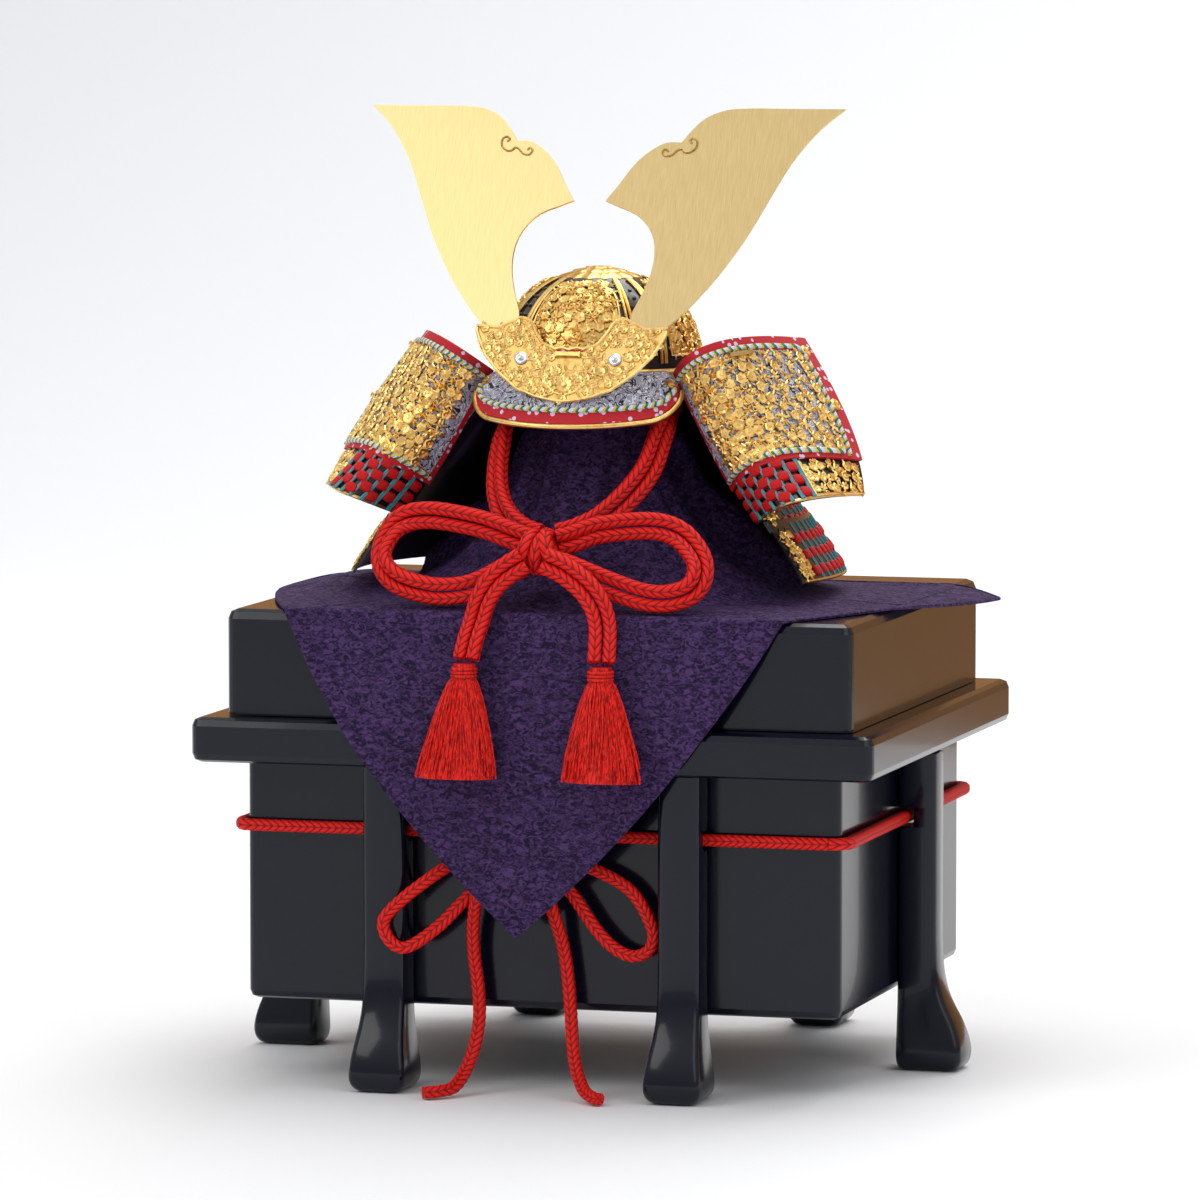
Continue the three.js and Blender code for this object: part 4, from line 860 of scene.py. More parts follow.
rim_band = spun(((44.35, 0), (45.5, 0), (45.5, 6.4), (44.35, 6.4)), helmet_at, 96, closed=True)
rim_wires = [bead(rim_ring(45.1, height), 0.8, closed=True) for height in (0.9, 5.6)]
rim = solid("bowl_rim_gold", [rim_band] + rim_wires, gold)
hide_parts("bowl_rim")
plate_facings = (("front", -90), ("right", 0), ("back", 90), ("left", 180))
for number, (place_name, facing) in enumerate(plate_facings):
    name = "bowl_plate_" + place_name

    def panel(u, v, facing=facing):
        return dome(facing - 29 + 58 * u, 6 + 55 * v)

    def rounded(u, v):
        return v < 0.72 or abs(u - 0.5) < 0.5 * math.sqrt(max(0, 1 - ((v - 0.72) / 0.3) ** 2)) + 0.05

    def ground(s, v):
        half = 0.5 if v < 0.71 else 0.5 * math.sqrt(max(0, 1 - ((v - 0.71) / 0.29) ** 2))
        return panel(0.5 + (2 * s - 1) * half, v)

    # Ground under the openwork, its darker gold a painted shade in the gaps.
    ground_plate = curved_plate(ground, 18, 18, 0.15, 0.45, ((0.01, 0.99), (0.015, 0.97)))
    backing = solid(name + "_ground", [ground_plate], shaded_ground_gold)
    parts = openwork(panel, ((0, 1), (0, 1)), 0.6, 5.4, 20 + number, rounded)
    edge = [panel(0.0, 0.01 + 0.7 * n / 8) for n in range(9)]
    for n in range(1, 12):
        turn = math.pi * n / 12
        edge.append(panel(0.5 - 0.5 * math.cos(turn), 0.71 + 0.28 * math.sin(turn)))
    edge += [panel(1.0, 0.71 - 0.7 * n / 8) for n in range(9)]
    edge += [panel(1 - n / 10, 0.01) for n in range(1, 10)]
    edge = [p + (p - helmet_at @ Vector((0, 0, 12))).normalized() * 0.9 for p in edge]
    parts.append(bead(edge, 0.6, 6, closed=True))
    plate = solid(name + "_cast", parts, gold)
    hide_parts(name)

# Crown: two scalloped rosettes on top, with pairs of ribs down the black panels.
crown_parts = []


def crown_point(radius, angle, lift):
    """Point over the top of the bowl at a radius from its axis."""
    level = (radius / bowl_radius) ** (1 / bowl_power)
    height = bowl_foot + bowl_rise * math.sqrt(1 - level * level) ** bowl_power
    return helmet_at @ Vector((radius * math.cos(angle), radius * math.sin(angle), height + lift))


for size, lift, petals in ((18.6, 0.8, 16), (12.5, 1.35, 12), (6.5, 1.9, 8)):
    rows = []
    for share, drop in ((1, 1.4), (1, 0.4), (0.93, 0), (0.62, 0), (0.34, 0.1), (0.1, 0)):
        row = []
        for j in range(96):
            angle = 2 * math.pi * j / 96
            scallop = abs(math.sin(petals * angle / 2))
            reach = size * share * (1 - 0.1 * scallop)
            row.append(crown_point(reach, angle, lift - drop - 0.3 * scallop * share))
        rows.append(row)
    crown_parts.append(skin(rows))
for quarter in range(4):
    for side in (-10, 10):
        for lean in (-1.6, 1.6):
            azimuth = quarter * 90 + 45 + side + lean
            crown_parts.append(bead([dome(azimuth, 2 + 63 * n / 20, 0.7) for n in range(21)], 0.75, 6))
crown = solid("crown_cast", crown_parts, gold)
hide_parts("crown")


# Leather faces: grey hide printed with black and white scribbles, and red edging
# hide with small white blossoms, both glued over the metal.
printed_hide, node, given = shared_group(
    "printed_hide", (("Light", "Color"),), (("Print", "Color"), ("Red", "Color"), ("Height", "Float")))
place = node("ShaderNodeTexCoord").outputs["Object"]
marks = []
for scale, level, width in ((120, 0.5, 0.028), (105, 0.47, 0.028)):
    swirl = node("ShaderNodeTexNoise", {"Vector": place, "Scale": scale, "Detail": 2, "Distortion": 3})
    line = reckon(node, "ABSOLUTE", reckon(node, "SUBTRACT", swirl.outputs[0], level))
    marks.append(reckon(node, "LESS_THAN", line, width))
chalk = mixed(node, marks[0], given.outputs[0], (0.8, 0.8, 0.86, 1))
ink = mixed(node, marks[1], chalk, (0.01, 0.01, 0.02, 1))
petal = node("ShaderNodeTexVoronoi", {"Vector": place, "Scale": 250})
flower = reckon(node, "LESS_THAN", petal.outputs[0], 0.27)
red = mixed(node, flower, (0.52, 0.005, 0.014, 1), (0.7, 0.62, 0.78, 1))
pores = node("ShaderNodeTexVoronoi", {"Vector": place, "Scale": 1500})
node("NodeGroupOutput", {"Print": ink, "Red": red, "Height": pores.outputs[0]})


def hide(name, border):
    """Printed hide with red edges, each a UV axis, a threshold and a sense. None is all red."""
    light = (0.38, 0.37, 0.48)
    look, tree, shader, node = material(name, light, 0.7)
    face = node("ShaderNodeGroup", {"Light": (*light, 1)}, node_tree=printed_hide)
    colour = face.outputs["Red"]
    if border:
        uv = node("ShaderNodeSeparateXYZ", {0: node("ShaderNodeTexCoord").outputs["UV"]})
        edge = None
        for axis, limit, sense in border:
            part = reckon(node, sense, uv.outputs[axis], limit)
            edge = reckon(node, "MAXIMUM", edge, part) if edge else part
        colour = mixed(node, edge, face.outputs["Print"], face.outputs["Red"])
    tree.links.new(colour, shader.inputs["Base Color"])
    bumped(tree, shader, node, 0.2, 0.0002, face.outputs["Height"])
    return look


def trim_look():
    """Edge braid of white, yellow and green threads, from the UV along it."""
    look, tree, shader, node = material("edge_braid", (0.7, 0.7, 0.75), 0.6)
    uv = node("ShaderNodeSeparateXYZ", {0: node("ShaderNodeTexCoord").outputs["UV"]})
    fold = reckon(node, "PINGPONG", uv.outputs[1], 0.5)
    slow = reckon(node, "MULTIPLY", uv.outputs[0], 0.55)
    phase = reckon(node, "MULTIPLY_ADD", fold, 1.2, slow)
    ramp = node("ShaderNodeValToRGB", {0: reckon(node, "FRACT", phase)})
    ramp.color_ramp.interpolation = "CONSTANT"
    ramp.color_ramp.elements[0].color = (0.7, 0.73, 0.92, 1)
    ramp.color_ramp.elements[1].position = 0.42
    ramp.color_ramp.elements[1].color = (0.8, 0.55, 0.02, 1)
    green = ramp.color_ramp.elements.new(0.68)
    green.color = (0.01, 0.2, 0.12, 1)
    tree.links.new(ramp.outputs[0], shader.inputs["Base Color"])
    groove = reckon(node, "SINE", reckon(node, "MULTIPLY", phase, 18.85))
    bumped(tree, shader, node, 0.5, 0.0003, groove)
    return look


edge_braid = trim_look()
visor_hide = hide("visor_hide", ((1, 0.2, "LESS_THAN"),))


def visor_surface(u, v):
    """Point of the visor: u from one end to the other, v from the lower edge to the rim."""
    rows = ((0, 0), (0.48, 0.27), (0.82, 0.61), (1, 1))
    angle = -55 + 110 * u
    rounding = max(0.0, abs(angle) - 36) / 21
    full = math.sqrt(max(0.0, 1 - rounding * rounding))
    spot = (1 - v) * full * 3
    low = min(max(int(spot), 0), 2)
    share = spot - low
    out = rows[low][0] + (rows[low + 1][0] - rows[low][0]) * share
    down = rows[low][1] + (rows[low + 1][1] - rows[low][1]) * share
    radius = 45.8 + 13.9 * out
    turn = math.radians(angle - 90)
    drop = 20.5 * down * (1 - 0.25 * (angle / 55) ** 2)
    return helmet_at @ Vector((radius * math.cos(turn), radius * math.sin(turn), 4.0 - drop))


visor = solid("visor_hide_covered", [curved_plate(visor_surface, 72, 15, 0, 1.6)], visor_hide)
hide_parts("visor")
rim_line = [
    frame_at(visor_surface, 0.012 + 0.976 * n / 60, 0.02) @ Vector((0, -1.75, 0.8)) for n in range(61)]
visor_rim = solid("visor_rim_round", [bead(rim_line, 1.3, 12)], gold)
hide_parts("visor_rim")
visor_braid = bead(laid(visor_surface, (0.03, 0.24), (0.97, 0.24), 90, 2.1), 1.2, 8)
solid("visor_edge_braid", [visor_braid], edge_braid)
for side in (-1, 1):
    at = frame_at(visor_surface, 0.5 + side * 0.46, 0.5, 0, 1.6)
    solid("visor_rosette_" + ("left" if side < 0 else "right"), [blossom(at, 2.6, 1.3, 6)], gold)

# Crest base: pale gold crescent in relief on a leaning plane, with two rivets,
# a small bar and a wavy arch over a slot lined in red hide.
crest_turn = Matrix.Rotation(math.radians(63), 4, "X")
crest_at = Matrix.Translation(frame_at(visor_surface, 0.5, 0.36, 0, 1.9).translation) @ crest_turn
base_table = [(0, 0), (10.4, 1.2), (21.2, 5.5), (30.7, 13.1), (37.7, 21.4), (42.4, 31.3), (43.3, 35.2)]
base_top = [(34.2, 34.5), (29, 37), (23, 39.6), (18.6, 37.2), (15.6, 31.7), (10.4, 26.1), (0, 24.5)]
right_edge = smooth_rows([list(p) for p in base_table], 30)
right_edge += smooth_rows([list(p) for p in base_top], 30)
outline = []
for n, (x, y) in enumerate(right_edge):
    wave = 0.55 * abs(math.sin(n * 0.62)) if 2 < n < 58 else 0
    middle = Vector((x * 0.75, 20))
    pull = (middle - Vector((x, y))).normalized() * wave
    outline.append((x + pull.x, y + pull.y))
outline += [(-x, y) for x, y in outline[-2:0:-1]]


def slab(points, low, high, at):
    """Maker of a plate cut to an outline, between two heights, its UV the outline / 100."""
    def make(mesh_maker):
        corners = [mesh_maker.verts.new((x, y, low)) for x, y in points]
        sheet = mesh_maker.faces.new(corners)
        raised = bmesh.ops.extrude_face_region(mesh_maker, geom=[sheet])["geom"]
        top = [part for part in raised if isinstance(part, bmesh.types.BMVert)]
        bmesh.ops.translate(mesh_maker, vec=(0, 0, high - low), verts=top)
        uv_layer = mesh_maker.loops.layers.uv["UVMap"]
        for corner in corners + top:
            for loop in corner.link_loops:
                loop[uv_layer].uv = (corner.co.x / 100, corner.co.y / 100)
        bmesh.ops.transform(mesh_maker, matrix=at, verts=corners + top)

    return make


def in_outline(x, y):
    """Whether a point lies within the crescent, with a margin."""
    hit = False
    for (x0, y0), (x1, y1) in zip(outline, outline[1:] + outline[:1]):
        if (y0 > y) != (y1 > y) and x < (x1 - x0) * (y - y0) / (y1 - y0) + x0:
            hit = not hit
    near = min(math.hypot(x - a, y - b) for a, b in outline)
    return hit and near > 1.4


# Ground under the crescent, its darker gold a painted shade in the gaps.
ground = solid("horn_base_ground", [slab(outline, 0, 1.2, crest_at)], shaded_ground_gold)
parts = []
picked = random.Random(7)
for row in range(13):
    for column in range(-12, 13):
        x = (column + 0.5 * (row % 2)) * 3.9
        y = 1.5 + row * 3.2
        on_rivet = abs(abs(x) - 21.2) < 4.2 and abs(y - 19.8) < 4.2
        if on_rivet or abs(x) < 7 and y > 17 or not in_outline(x, y):
            continue
        shift = (x + picked.uniform(-0.4, 0.4), y + picked.uniform(-0.4, 0.4), 1.2)
        spot = crest_at @ Matrix.Translation(shift) @ Matrix.Rotation(picked.uniform(0, 6.28), 4, "Z")
        if picked.random() < 0.5:
            parts.append(blossom(spot, picked.uniform(1.9, 2.7), 1.0, picked.choice((5, 6, 8))))
        else:
            for k in range(3):
                at = spot @ Matrix.Rotation(k * 2.1, 4, "Z") @ Matrix.Translation((1.2, 0, 0))
                parts.append(leaf(at, 3.4, 1.5, 0.8))
        parts.append(curl(spot @ Matrix.Translation((2.1, 0, 0)), 1.3, 0.3))
parts.append(blossom(crest_at @ Matrix.Translation((0, 7.5, 1.3)), 4.6, 1.7, 12))
tendril = ((1, 3), (5, 4.4), (9, 9), (9.4, 14), (6.5, 16.5))
for side in (-1, 1):
    parts.append(bead([crest_at @ Vector((side * x, y, 1.5)) for x, y in tendril], 0.5, 6))
parts.append(bead([crest_at @ Vector((x, y, 1.3)) for x, y in outline[::2]], 0.75, 6, closed=True))
arch = [(-8.5, 25.6), (-6.5, 24.4), (-3.5, 25.2), (0, 24.2), (3.5, 25.2), (6.5, 24.4), (8.5, 25.6)]
parts.append(bead([crest_at @ Vector((x, y, 1.7)) for x, y in arch], 0.75, 6))
base = solid("horn_base_cast", parts, pale_gold)
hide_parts("horn_base")
silver, tree, shader, node = material("turned_silver", (0.8, 0.8, 0.8), 0.2, 1)
place = node("ShaderNodeTexCoord")
turned = node("ShaderNodeTexNoise", {"Vector": place.outputs["Object"], "Scale": 900})
bumped(tree, shader, node, 0.1, 0.0002, turned.outputs[0])
rivet_profile = ((2.9, 1.5), (2.9, 2.0), (2.3, 2.3), (2.2, 2.0), (1.5, 2.0), (1.4, 2.9), (0.7, 3.25))
for name, side in (("rivet_left", -1), ("rivet_right", 1)):
    rivet_at = crest_at @ Matrix.Translation((side * 21.2, 19.8, 0))
    head = solid(name + "_turned", [spun(rivet_profile, rivet_at, 24)], silver)
    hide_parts(name)
bar_outline = [
    (-5.5, 20.4), (-4.6, 20.9), (4.6, 20.9), (5.5, 20.4), (5.5, 23.1), (4.6, 22.7), (-4.6, 22.7),
    (-5.5, 23.1)]
bar = solid("horn_bar_cast", [slab(bar_outline, 1.5, 3.0, crest_at)], pale_gold)
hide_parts("horn_bar")
red_hide = hide("red_hide", None)
slot_outline = [(-6.5, 23.4), (6.5, 23.4), (5, 25.4), (-5, 25.4)]
solid("slot_lining", [slab(slot_outline, 1.25, 1.5, crest_at)], red_hide)

# Horns: brushed pale gold sheet, plugged in behind the crescent, with an engraved
# scroll beside the notch of each.
horn_table = [
    (27, 26.3), (41.8, 26.3), (42.5, 37.4), (49.2, 45.1), (60.4, 60.7), (71, 79.7), (79.3, 98.9),
    (87.6, 117.6),
    (97.7, 133.2), (108.3, 144.2)]
horn_top = [
    (108.3, 144.2), (90.7, 143.5), (67, 142.7), (56, 141.4), (47.5, 137.5), (42, 131.7), (37.6, 125)]
horn_inner = [(37.6, 125), (30.3, 124.3), (23, 119.2), (17.3, 112.5), (12.3, 103.7), (7.2, 95.6)]
horn_bay = [
    (7.2, 95.6), (12.6, 93.4), (21.9, 89.6), (28.4, 83), (31.7, 74.3), (31.8, 63.7), (29.2, 52.9),
    (25.2, 41.4), (27, 36.9)]
brushed, tree, shader, node = material("brushed_gold", (0.75, 0.54, 0.22), 0.4, 1)
place = node("ShaderNodeTexCoord")
along_it = node("ShaderNodeMapping", {"Vector": place.outputs["UV"]})
along_it.inputs["Rotation"].default_value = (0, 0, 0.35)
along_it.inputs["Scale"].default_value = (420, 9, 1)
stroke = node("ShaderNodeTexNoise", {"Vector": along_it.outputs[0], "Scale": 1, "Detail": 3})
tone = node("ShaderNodeMapRange", {"Value": stroke.outputs[0], "From Min": 0.35, "From Max": 0.65})
colour = mixed(node, tone.outputs[0], (0.64, 0.46, 0.2, 1), (0.75, 0.57, 0.275, 1))
tree.links.new(colour, shader.inputs["Base Color"])
rough = node("ShaderNodeMapRange", {"Value": stroke.outputs[0], "To Min": 0.3, "To Max": 0.46})
tree.links.new(rough.outputs[0], shader.inputs["Roughness"])
bumped(tree, shader, node, 0.12, 0.0002, stroke.outputs[0])
engraved = gold_look("engraved_gold", (0.5, 0.32, 0.1), (0.22, 0.12, 0.03), 0.45, 900)
scroll = [(-5.4, -4.6), (-6.7, -3.6), (-7.9, -5), (-6.5, -6.9), (-3.6, -6.2), (-1.5, -4),
          (0.3, -3.3), (1.7, -4.6),
          (4.1, -4.7), (6.7, -2.4), (6.9, 0.8), (5, 2.1), (3.5, 0.9), (4.7, -0.4)]
for name, side in (("horn_left", -1), ("horn_right", 1)):
    table = [list(p) for p in horn_table]
    line = smooth_rows(table[:2], 1) + smooth_rows(table[2:], 24)
    for part in (horn_top, horn_inner, horn_bay):
        line += smooth_rows([list(p) for p in part], 20)[1:]
    swing = Matrix.Translation((side * 27, 36, -0.3)) @ Matrix.Rotation(side * math.radians(4.2), 4, "Y")
    at = crest_at @ swing @ Matrix.Diagonal((side, 1, 1, 1)) @ Matrix.Translation((-27, -36, -1.2))
    horn = solid(name + "_brushed", [slab([(x, y) for x, y in line], 0, 1.2, at)], brushed)
    horn.data.shade_flat()
    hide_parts(name)
    groove = smooth_rows([[37.6 + x, 125 + y, 1.15] for x, y in scroll], 60)
    solid(name + "_scroll", [bead([at @ Vector(p) for p in groove], 0.55, 6)], engraved)

# Turned-back wings: hide over a curved plate with gold openwork, edged with braid;
# under each a lower tier laced with red pads over teal cords.
wing_reach, wing_depth, wing_height = 121.6, 53, 60.5
wing_rows = (
    ((0.657, -0.619, -1), (0.855, -1, -0.788), (1, -0.077, -0.805)),
    ((0.505, -0.555, -0.524), (0.664, -0.725, -0.293), (0.912, 0.16, -0.337)),
    ((0.344, -0.479, 0.078), (0.506, -0.606, 0.307), (0.707, 0.451, 0.278)),
)


def wing_point(u, v):
    """Point of the right wing: u from the neck guard outwards, v from the lower edge up."""
    def three(t):
        return 2 * (t - 0.5) * (t - 1), 4 * t * (1 - t), 2 * t * (t - 0.5)

    x = y = z = 0.0
    for row, b in zip(wing_rows, three(v)):
        for (out, back, up), a in zip(row, three(u)):
            x += a * b * out * wing_reach
            y += a * b * back * wing_depth
            z += a * b * up * wing_height
    return helmet_at @ Vector((x, y, z))


def pad(at, wide, high, thick):
    """Rounded knot of lacing."""
    def squared(wave):
        return math.copysign(abs(wave) ** 0.5, wave)

    rows = []
    for size, lift in ((1, -0.1), (1.0, 0.45), (0.86, 0.82), (0.45, 1)):
        ring = []
        for j in range(10):
            angle = math.pi * (j + 0.5) / 5
            x, y = wide / 2 * squared(math.cos(angle)), high / 2 * squared(math.sin(angle))
            ring.append(at @ Vector((x * size, y * size, thick * lift)))
        rows.append(ring)
    return skin(rows)


def thread_look(name, base, gap_shade, bright, scale, distortion, detail):
    """Laid threads, darker between them, a painted shade, and bright on top, a painted highlight, and what
    carries their relief.
    """
    look, tree, shader, node = material(name, base, 0.6)
    threads = node("ShaderNodeGroup", {
        "Scale": scale, "Distortion": distortion, "Detail": detail, "Dark": (*gap_shade, 1),
        "Bright": (*bright, 1)}, node_tree=laid_threads)
    tree.links.new(threads.outputs["Color"], shader.inputs["Base Color"])
    return look, tree, shader, node, threads


wing_hide = hide("wing_hide", (
    (1, 0.9, "GREATER_THAN"), (0, 0.945, "GREATER_THAN"), (1, 0.09, "LESS_THAN"),
    (0, 0.035, "LESS_THAN")))
laid_threads, node, given = shared_group(
    "laid_threads",
    (("Scale", "Float"), ("Distortion", "Float"), ("Detail", "Float"), ("Dark", "Color"),
     ("Bright", "Color")),
    (("Color", "Color"), ("Height", "Float")))
wave = node("ShaderNodeTexWave", {
    "Vector": node("ShaderNodeTexCoord").outputs["Object"], "Scale": given.outputs["Scale"],
    "Distortion": given.outputs["Distortion"], "Detail": given.outputs["Detail"]})
# Colour follows the thread relief: darker between threads, a painted shade, and brighter on top, a painted
# highlight.
colour = mixed(node, wave.outputs[1], given.outputs["Dark"], given.outputs["Bright"])
node("NodeGroupOutput", {"Color": colour, "Height": wave.outputs[1]})
# Red silk and teal cord, each with a painted shade colour between the threads and a painted highlight
# colour on top.
silk, tree, shader, node, threads = thread_look(
    "red_silk", (0.68, 0.012, 0.02), (0.38, 0.003, 0.006), (0.76, 0.012, 0.012), 900, 2, 1)
shader.inputs["Specular IOR Level"].default_value = 0.2
bumped(tree, shader, node, 0.3, 0.0003, threads.outputs["Height"])
teal = thread_look("teal_cord", (0.04, 0.3, 0.34), (0.01, 0.1, 0.13), (0.12, 0.5, 0.55), 700, 1, 2)[0]
split = 0.27
upper = [curved_plate(wing_point, 40, 28, 0, 1.5, ((0, 1), (split, 1)))]
gold_span = ((0.14, 0.94), (split + 0.05, 0.925))
upper_gold = openwork(wing_point, gold_span, 1.9, 5.7, 41)
stud_profile = ((2.9, 0), (2.9, 0.9), (2.2, 1.3), (2.0, 0.9), (1.4, 1.1), (1.2, 2.0), (0.5, 2.4))
for spot_u, spot_v in ((0.955, 0.92), (0.965, 0.62), (0.4, split + 0.06)):
    upper_gold.append(spun(stud_profile, frame_at(wing_point, spot_u, spot_v, 0, 1.9), 20))
bar_at = frame_at(wing_point, 0.6, 0.91, 0.02, 2.6)
upper_bar = [slab([(-6.5, -1), (6.5, -1), (6.5, 1), (-6.5, 1)], 0, 1.4, bar_at)]
braid_line = laid(wing_point, (0.03, 0.945), (0.925, 0.945), 40, 1.9)
braid_line += laid(wing_point, (0.945, 0.93), (0.945, split + 0.02), 30, 1.9)
lower_line = laid(wing_point, (0.05, split + 0.045), (0.92, split + 0.045), 40, 1.9)
upper_braid = [bead(braid_line, 1.2, 8), bead(lower_line, 1.25, 8)]
lower = [curved_plate(wing_point, 40, 12, -1.9, -0.4, ((0, 1), (0, split + 0.06)))]
lower_pads, lower_cords = [], []
for column in range(7):
    u = 0.055 + column * 0.09
    for row in range(3):
        v = 0.045 + row * 0.088 + 0.04 * (column % 2)
        lower_pads.append(pad(frame_at(wing_point, u, v, 0, -0.4), 5.6, 4.9, 2.2))
    for shift in (-0.006, 0.006):
        cord_u = u + 0.045 + shift
        lower_cords.append(bead(laid(wing_point, (cord_u, 0), (cord_u, split), 10, 0.6), 0.6, 5))
lower_gold = openwork(wing_point, ((0.66, 0.985), (0.015, split - 0.02)), 0.2, 5.4, 47)
lower_gold.append(bead(laid(wing_point, (0.655, 0.01), (0.655, split - 0.02), 6, 0.6), 0.55, 6))
lower_gold.append(bead(laid(wing_point, (0.655, 0.01), (0.99, 0.01), 16, 0.5), 0.55, 6))
lower_edge = [bead(laid(wing_point, (0.01, 0.006), (0.99, 0.006), 50, -0.6), 0.8, 8)]
dull_bar = gold_look("dull_bar", (0.62, 0.4, 0.14), (0.35, 0.2, 0.06), 0.4, 500)
for side in ("left", "right"):
    for name, parts, look, node_name, slot in (
            ("wing_{}_hide", upper, wing_hide, "wing_{}", "printed_leather"),
            ("wing_gold_{}_cast", upper_gold, gold, "wing_gold_{}", "gold"),
            ("wing_lower_{}_lacquered", lower, iron, "wing_lower_{}", "red_lacing"),
            ("wing_lower_gold_{}_cast", lower_gold, gold, "wing_lower_gold_{}", "gold"),
            ("wing_bar_{}", upper_bar, dull_bar, None, None),
            ("wing_braid_{}", upper_braid, edge_braid, None, None),
            ("wing_pads_{}", lower_pads, silk, None, "red_lacing"),
            ("wing_teal_{}", lower_cords, teal, None, None),
            ("wing_edge_{}", lower_edge, gold, None, "gold")):
        if name == "wing_bar_{}" and side == "left":
            continue
        made = solid(name.format(side), parts, look, mirrored=side == "left")
        if node_name:
            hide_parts(node_name.format(side))


# Neck guard: four black lacquered lames, each laced to the next with red pads over
# teal cords, gold castings at their front ends and a gold wire along each edge.
def neck_edge(z):
    """Azimuth of a lame's front end, where the wing turns back."""
    heights = [row[0][2] * wing_height for row in wing_rows]
    angles = [math.atan2(-row[0][1] * wing_depth, row[0][0] * wing_reach) for row in wing_rows]
    upper_part = 1 if z > heights[1] else 0
    share = max(-0.6, (z - heights[upper_part]) / (heights[upper_part + 1] - heights[upper_part]))
    return angles[upper_part] + (angles[upper_part + 1] - angles[upper_part]) * share


guard_top, guard_bottom, guard_drop, lames = 45.9, 108, 85.5, 4
for number in range(lames):
    bottom = -(number + 1) * guard_drop / lames
    top = -number * guard_drop / lames + (5 if number else 0)

    def lame_point(u, v, bottom=bottom, top=top, number=number):
        z = bottom + (top - bottom) * v
        radius = guard_top + (guard_bottom - guard_top) * -z / guard_drop + (v * 1.95 if number else 0)
        front = neck_edge(z) - 1.4 / radius
        turn = -front + (math.pi + 2 * front) * u
        return helmet_at @ Vector((radius * math.cos(turn), radius * math.sin(turn), z))

    name = f"lame_{number + 1}"
    band = solid(name + "_lacquered", [curved_plate(lame_point, 96, 4, 0, 1.2)], iron)
    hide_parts(name)
    girth = line_length([lame_point(n / 24, 0.5) for n in range(25)])
    columns = round((girth - 22) / 6.6)
    pads, cords, castings = [], [], []
    for column in range(columns):
        u = (11 + (girth - 22) * (column + 0.5) / columns) / girth
        for v in ((0.13, 0.38, 0.63) if number < 3 else (0.16, 0.42, 0.68)):
            pads.append(pad(frame_at(lame_point, u, v + 0.02 * (column % 2), 0, 1.2), 4.9, 4.8, 1.3))
        for shift in (-0.55, 0.55):
            cord_u = u + (3.3 + shift) / girth
            cords.append(bead(laid(lame_point, (cord_u, 0.03), (cord_u, 0.93), 4, 1.35), 0.33, 4))
    for end in (0, 1):
        span = (0.004, 10 / girth) if end == 0 else (1 - 10 / girth, 0.996)
        castings += openwork(lame_point, (span, (0.06, 0.8)), 1.4, 4.6, 60 + number * 2 + end)
    castings.append(bead(laid(lame_point, (0.004, 0.02), (0.996, 0.02), 96, 0.9), 0.75, 6))
    solid(name + "_pads", pads, silk)
    solid(name + "_teal", cords, teal)
    solid(name + "_gold", castings, gold)

# Chin cord: one long doubled cord, round behind the post, down in front and tied in a
# bow; each doubled run is two braids side by side.
bow_routes = {
    "chin_cord": [
        (-5.2, -93, 238.7), (-14, -90.5, 241.5), (-23.3, -83.5, 247.4), (-29.5, -74, 256),
        (-32.6, -64, 267),
        (-33.6, -52, 281), (-34, -42, 287), (-34, -29, 291), (-33.6, -16, 293), (-31.7, -4, 293.6),
        (-24.3, 8, 294), (-13, 16.2, 294), (0, 18.4, 294), (13, 16.2, 294), (24.3, 8, 294),
        (31.7, -4, 293.6),
        (34, -16, 293), (36, -29, 291), (37.8, -42, 287), (37.8, -53, 280), (35.8, -65, 267),
        (29, -75.5, 255.5), (20.1, -85, 246.3), (11, -91, 241.5), (3.2, -93, 239.2)],
    "bow_loop_left": [
        (-7.5, -101.5, 237.6), (-14, -100.5, 239.5), (-30.5, -98.5, 244.6), (-53.4, -97.5, 247.7),
        (-66.5, -98.5, 244.4), (-72.8, -102, 235), (-72, -106, 226.5), (-64, -110, 220),
        (-48.8, -112.5, 216.4), (-36, -112.5, 216.7), (-26, -111, 219.5), (-14, -108.8, 226),
        (-7.5, -108.5, 228.6)],
    "bow_loop_right": [
        (6, -101.5, 237.4), (12, -100.5, 239), (23.5, -98.5, 243.1), (45.6, -97.5, 245.3), (59, -99, 242),
        (68.5, -103.5, 233), (70.8, -108.5, 225), (67, -112, 218.6), (57, -114, 215.6),
        (45.6, -113.5, 216.4),
        (30, -111.5, 221), (12, -109, 227.2), (6, -108.6, 228.8)],
    "bow_tail_left": [
        (-5.4, -116.8, 230.8), (-12, -118.8, 226.5), (-18, -121, 220.5), (-21.8, -123.6, 213),
        (-23.6, -126, 205),
        (-25, -130.5, 197.5), (-26, -134, 189.4)],
    "bow_tail_right": [
        (4.4, -116.8, 230.8), (14, -119.4, 227), (24, -122.4, 220), (30, -124.6, 212.4),
        (32.6, -126.6, 205),
        (33.8, -130.7, 197.5), (34.2, -134, 189.4)],
}
bow_wraps = ((-5.4, 16), (0.2, 10), (5.4, -20))
bow_knot_form = knot_form((-1, -105.5, 233), (10, 11.5, 10), bow_wraps, 3.1, 3.9)
bow_knot = solid("bow_knot_tied", bow_knot_form, red_braid)
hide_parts("bow_knot")

# Tassels at the tails' ends: threads bound at the neck, cut off level below.
tassel_silk, tree, shader, node = material("tassel_silk", (0.8, 0.02, 0.02), 0.5)
uv = node("ShaderNodeTexCoord")
fine = node("ShaderNodeMapping", {"Vector": uv.outputs["Object"]})
fine.inputs["Scale"].default_value = (1400, 1400, 60)
threads = node("ShaderNodeTexNoise", {"Vector": fine.outputs[0], "Scale": 1, "Detail": 2})
tone = node("ShaderNodeMapRange", {"Value": threads.outputs[0], "From Min": 0.35, "From Max": 0.62})
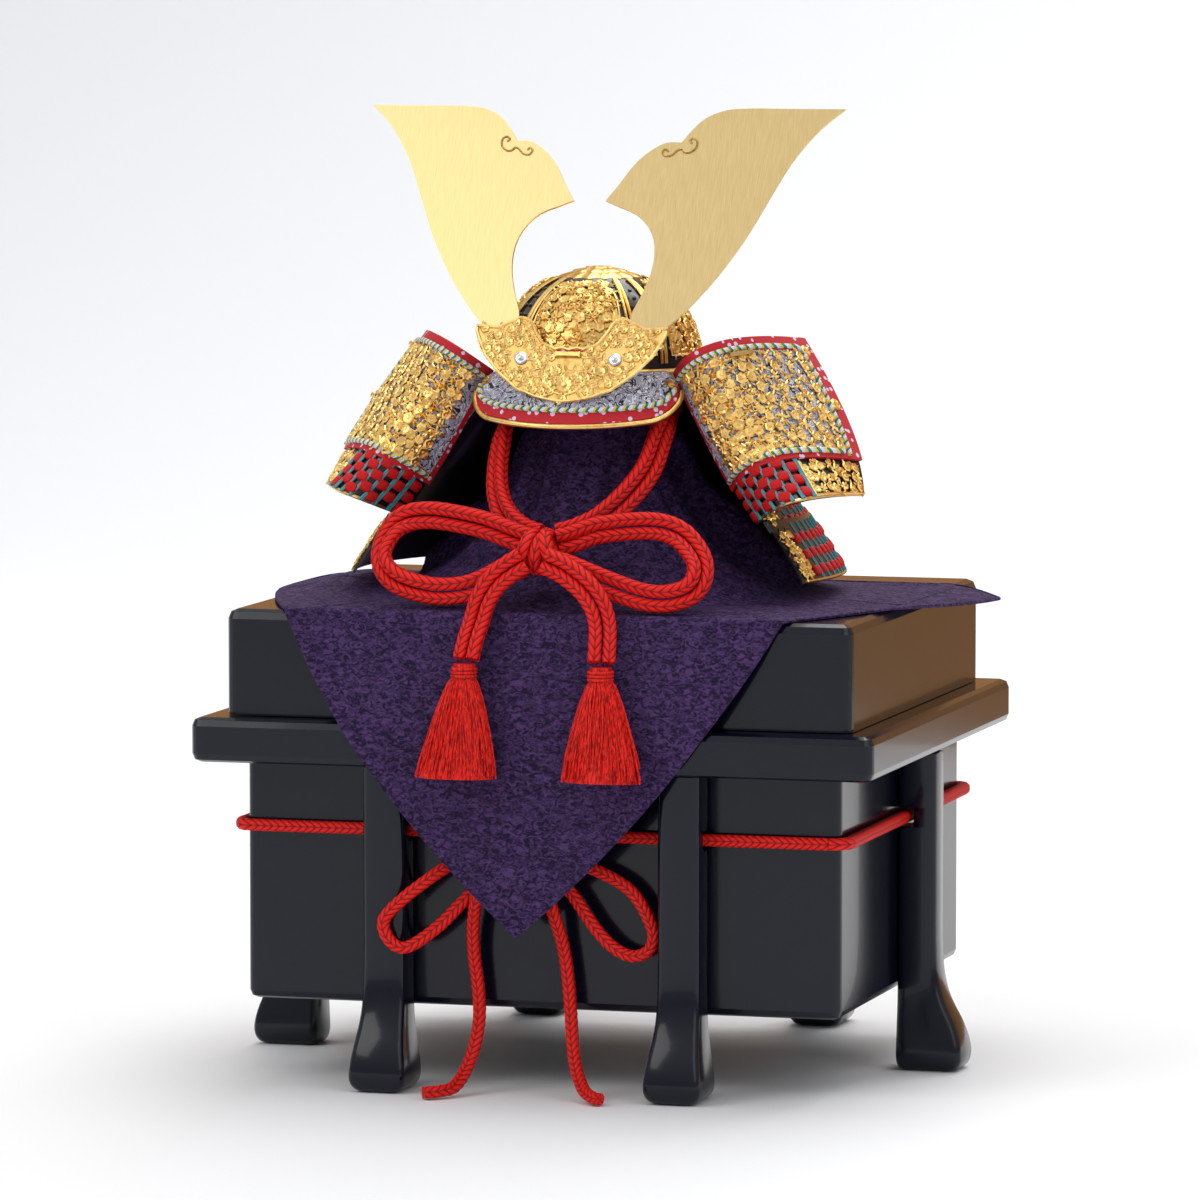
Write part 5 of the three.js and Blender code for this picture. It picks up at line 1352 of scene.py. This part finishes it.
# Colour follows the thread relief: darker in its low parts between threads, a painted shade.
colour = mixed(node, tone.outputs[0], (0.3, 0.002, 0.002, 1), (0.86, 0.02, 0.01, 1))
tree.links.new(colour, shader.inputs["Base Color"])
bumped(tree, shader, node, 0.5, 0.0004, threads.outputs[0])
shader.inputs["Specular IOR Level"].default_value = 0.2
tassel_table = [
    [0, 5.2, 1], [3, 5.4, 1], [5.5, 4.5, 1], [8, 6.4, 0.9], [16, 9.8, 0.66], [28, 13.6, 0.52],
    [40, 16.8, 0.47], [48.2, 18.4, 0.46]]
profile = smooth_rows(tassel_table, 26)
for name, tip_x, lean_x, seed in (("tassel_left", -26.4, -0.9, 3), ("tassel_right", 34.4, 3.2, 4)):
    tip = (tip_x, -135, 187.4)
    picked = random.Random(seed)

    def at_depth(row, angle, share, tip=tip, lean_x=lean_x):
        fall, radius, flat = row
        down = fall / 49
        return Vector((
            tip[0] + lean_x * down + radius * share * math.cos(angle),
            tip[1] - 10.4 * down + radius * share * flat * math.sin(angle), tip[2] - fall))

    parts = [skin([
        [at_depth(row, 2 * math.pi * j / 40, 0.9 - 0.03 * (j % 2)) for j in range(40)] for row in profile])]
    for k in range(230):
        angle = picked.uniform(0, 2 * math.pi)
        share = picked.uniform(0.84, 0.99)
        sway = picked.uniform(-0.14, 0.14)
        cut = picked.randint(22, 26)
        line = []
        for n in range(8):
            row = profile[6 + round((cut - 6) * n / 7)]
            line.append(at_depth(row, angle + sway * math.sin(n * 0.7), share))
        parts.append(bead(line, picked.uniform(0.3, 0.5), 4))
    for turn in range(3):
        z = tip[2] - 2.0 - turn * 1.5
        binding = []
        for j in range(24):
            angle = 2 * math.pi * j / 24
            binding.append((
                tip[0] + 5.1 * math.cos(angle), tip[1] - 0.5 - turn * 0.3 + 5.1 * math.sin(angle), z))
        parts.append(bead(binding, 0.75, 6, closed=True))
    solid(name + "_threads", parts, tassel_silk)
    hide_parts(name)
for name, points in bow_routes.items():
    middle = smooth_line(points, 0.75)
    outs = [Vector((p.x, p.y + 16, 0)).normalized() for p in middle]
    for strand, shift in (("upper", 3.15), ("under", -3.15)):
        line = [p + side_of(middle, i, outs[i])[0] * shift for i, p in enumerate(middle)]
        run = solid(f"{name}_{strand}", [braid(line, 3.1, 3.9, outs, 16)], red_braid)
        if name == "chin_cord":
            if strand == "upper":
                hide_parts("chin_cord_left", "chin_cord_right")
        elif strand == "upper":
            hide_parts(name)
        "tail" in name and strand == "upper"
        line_length(line) / 1000
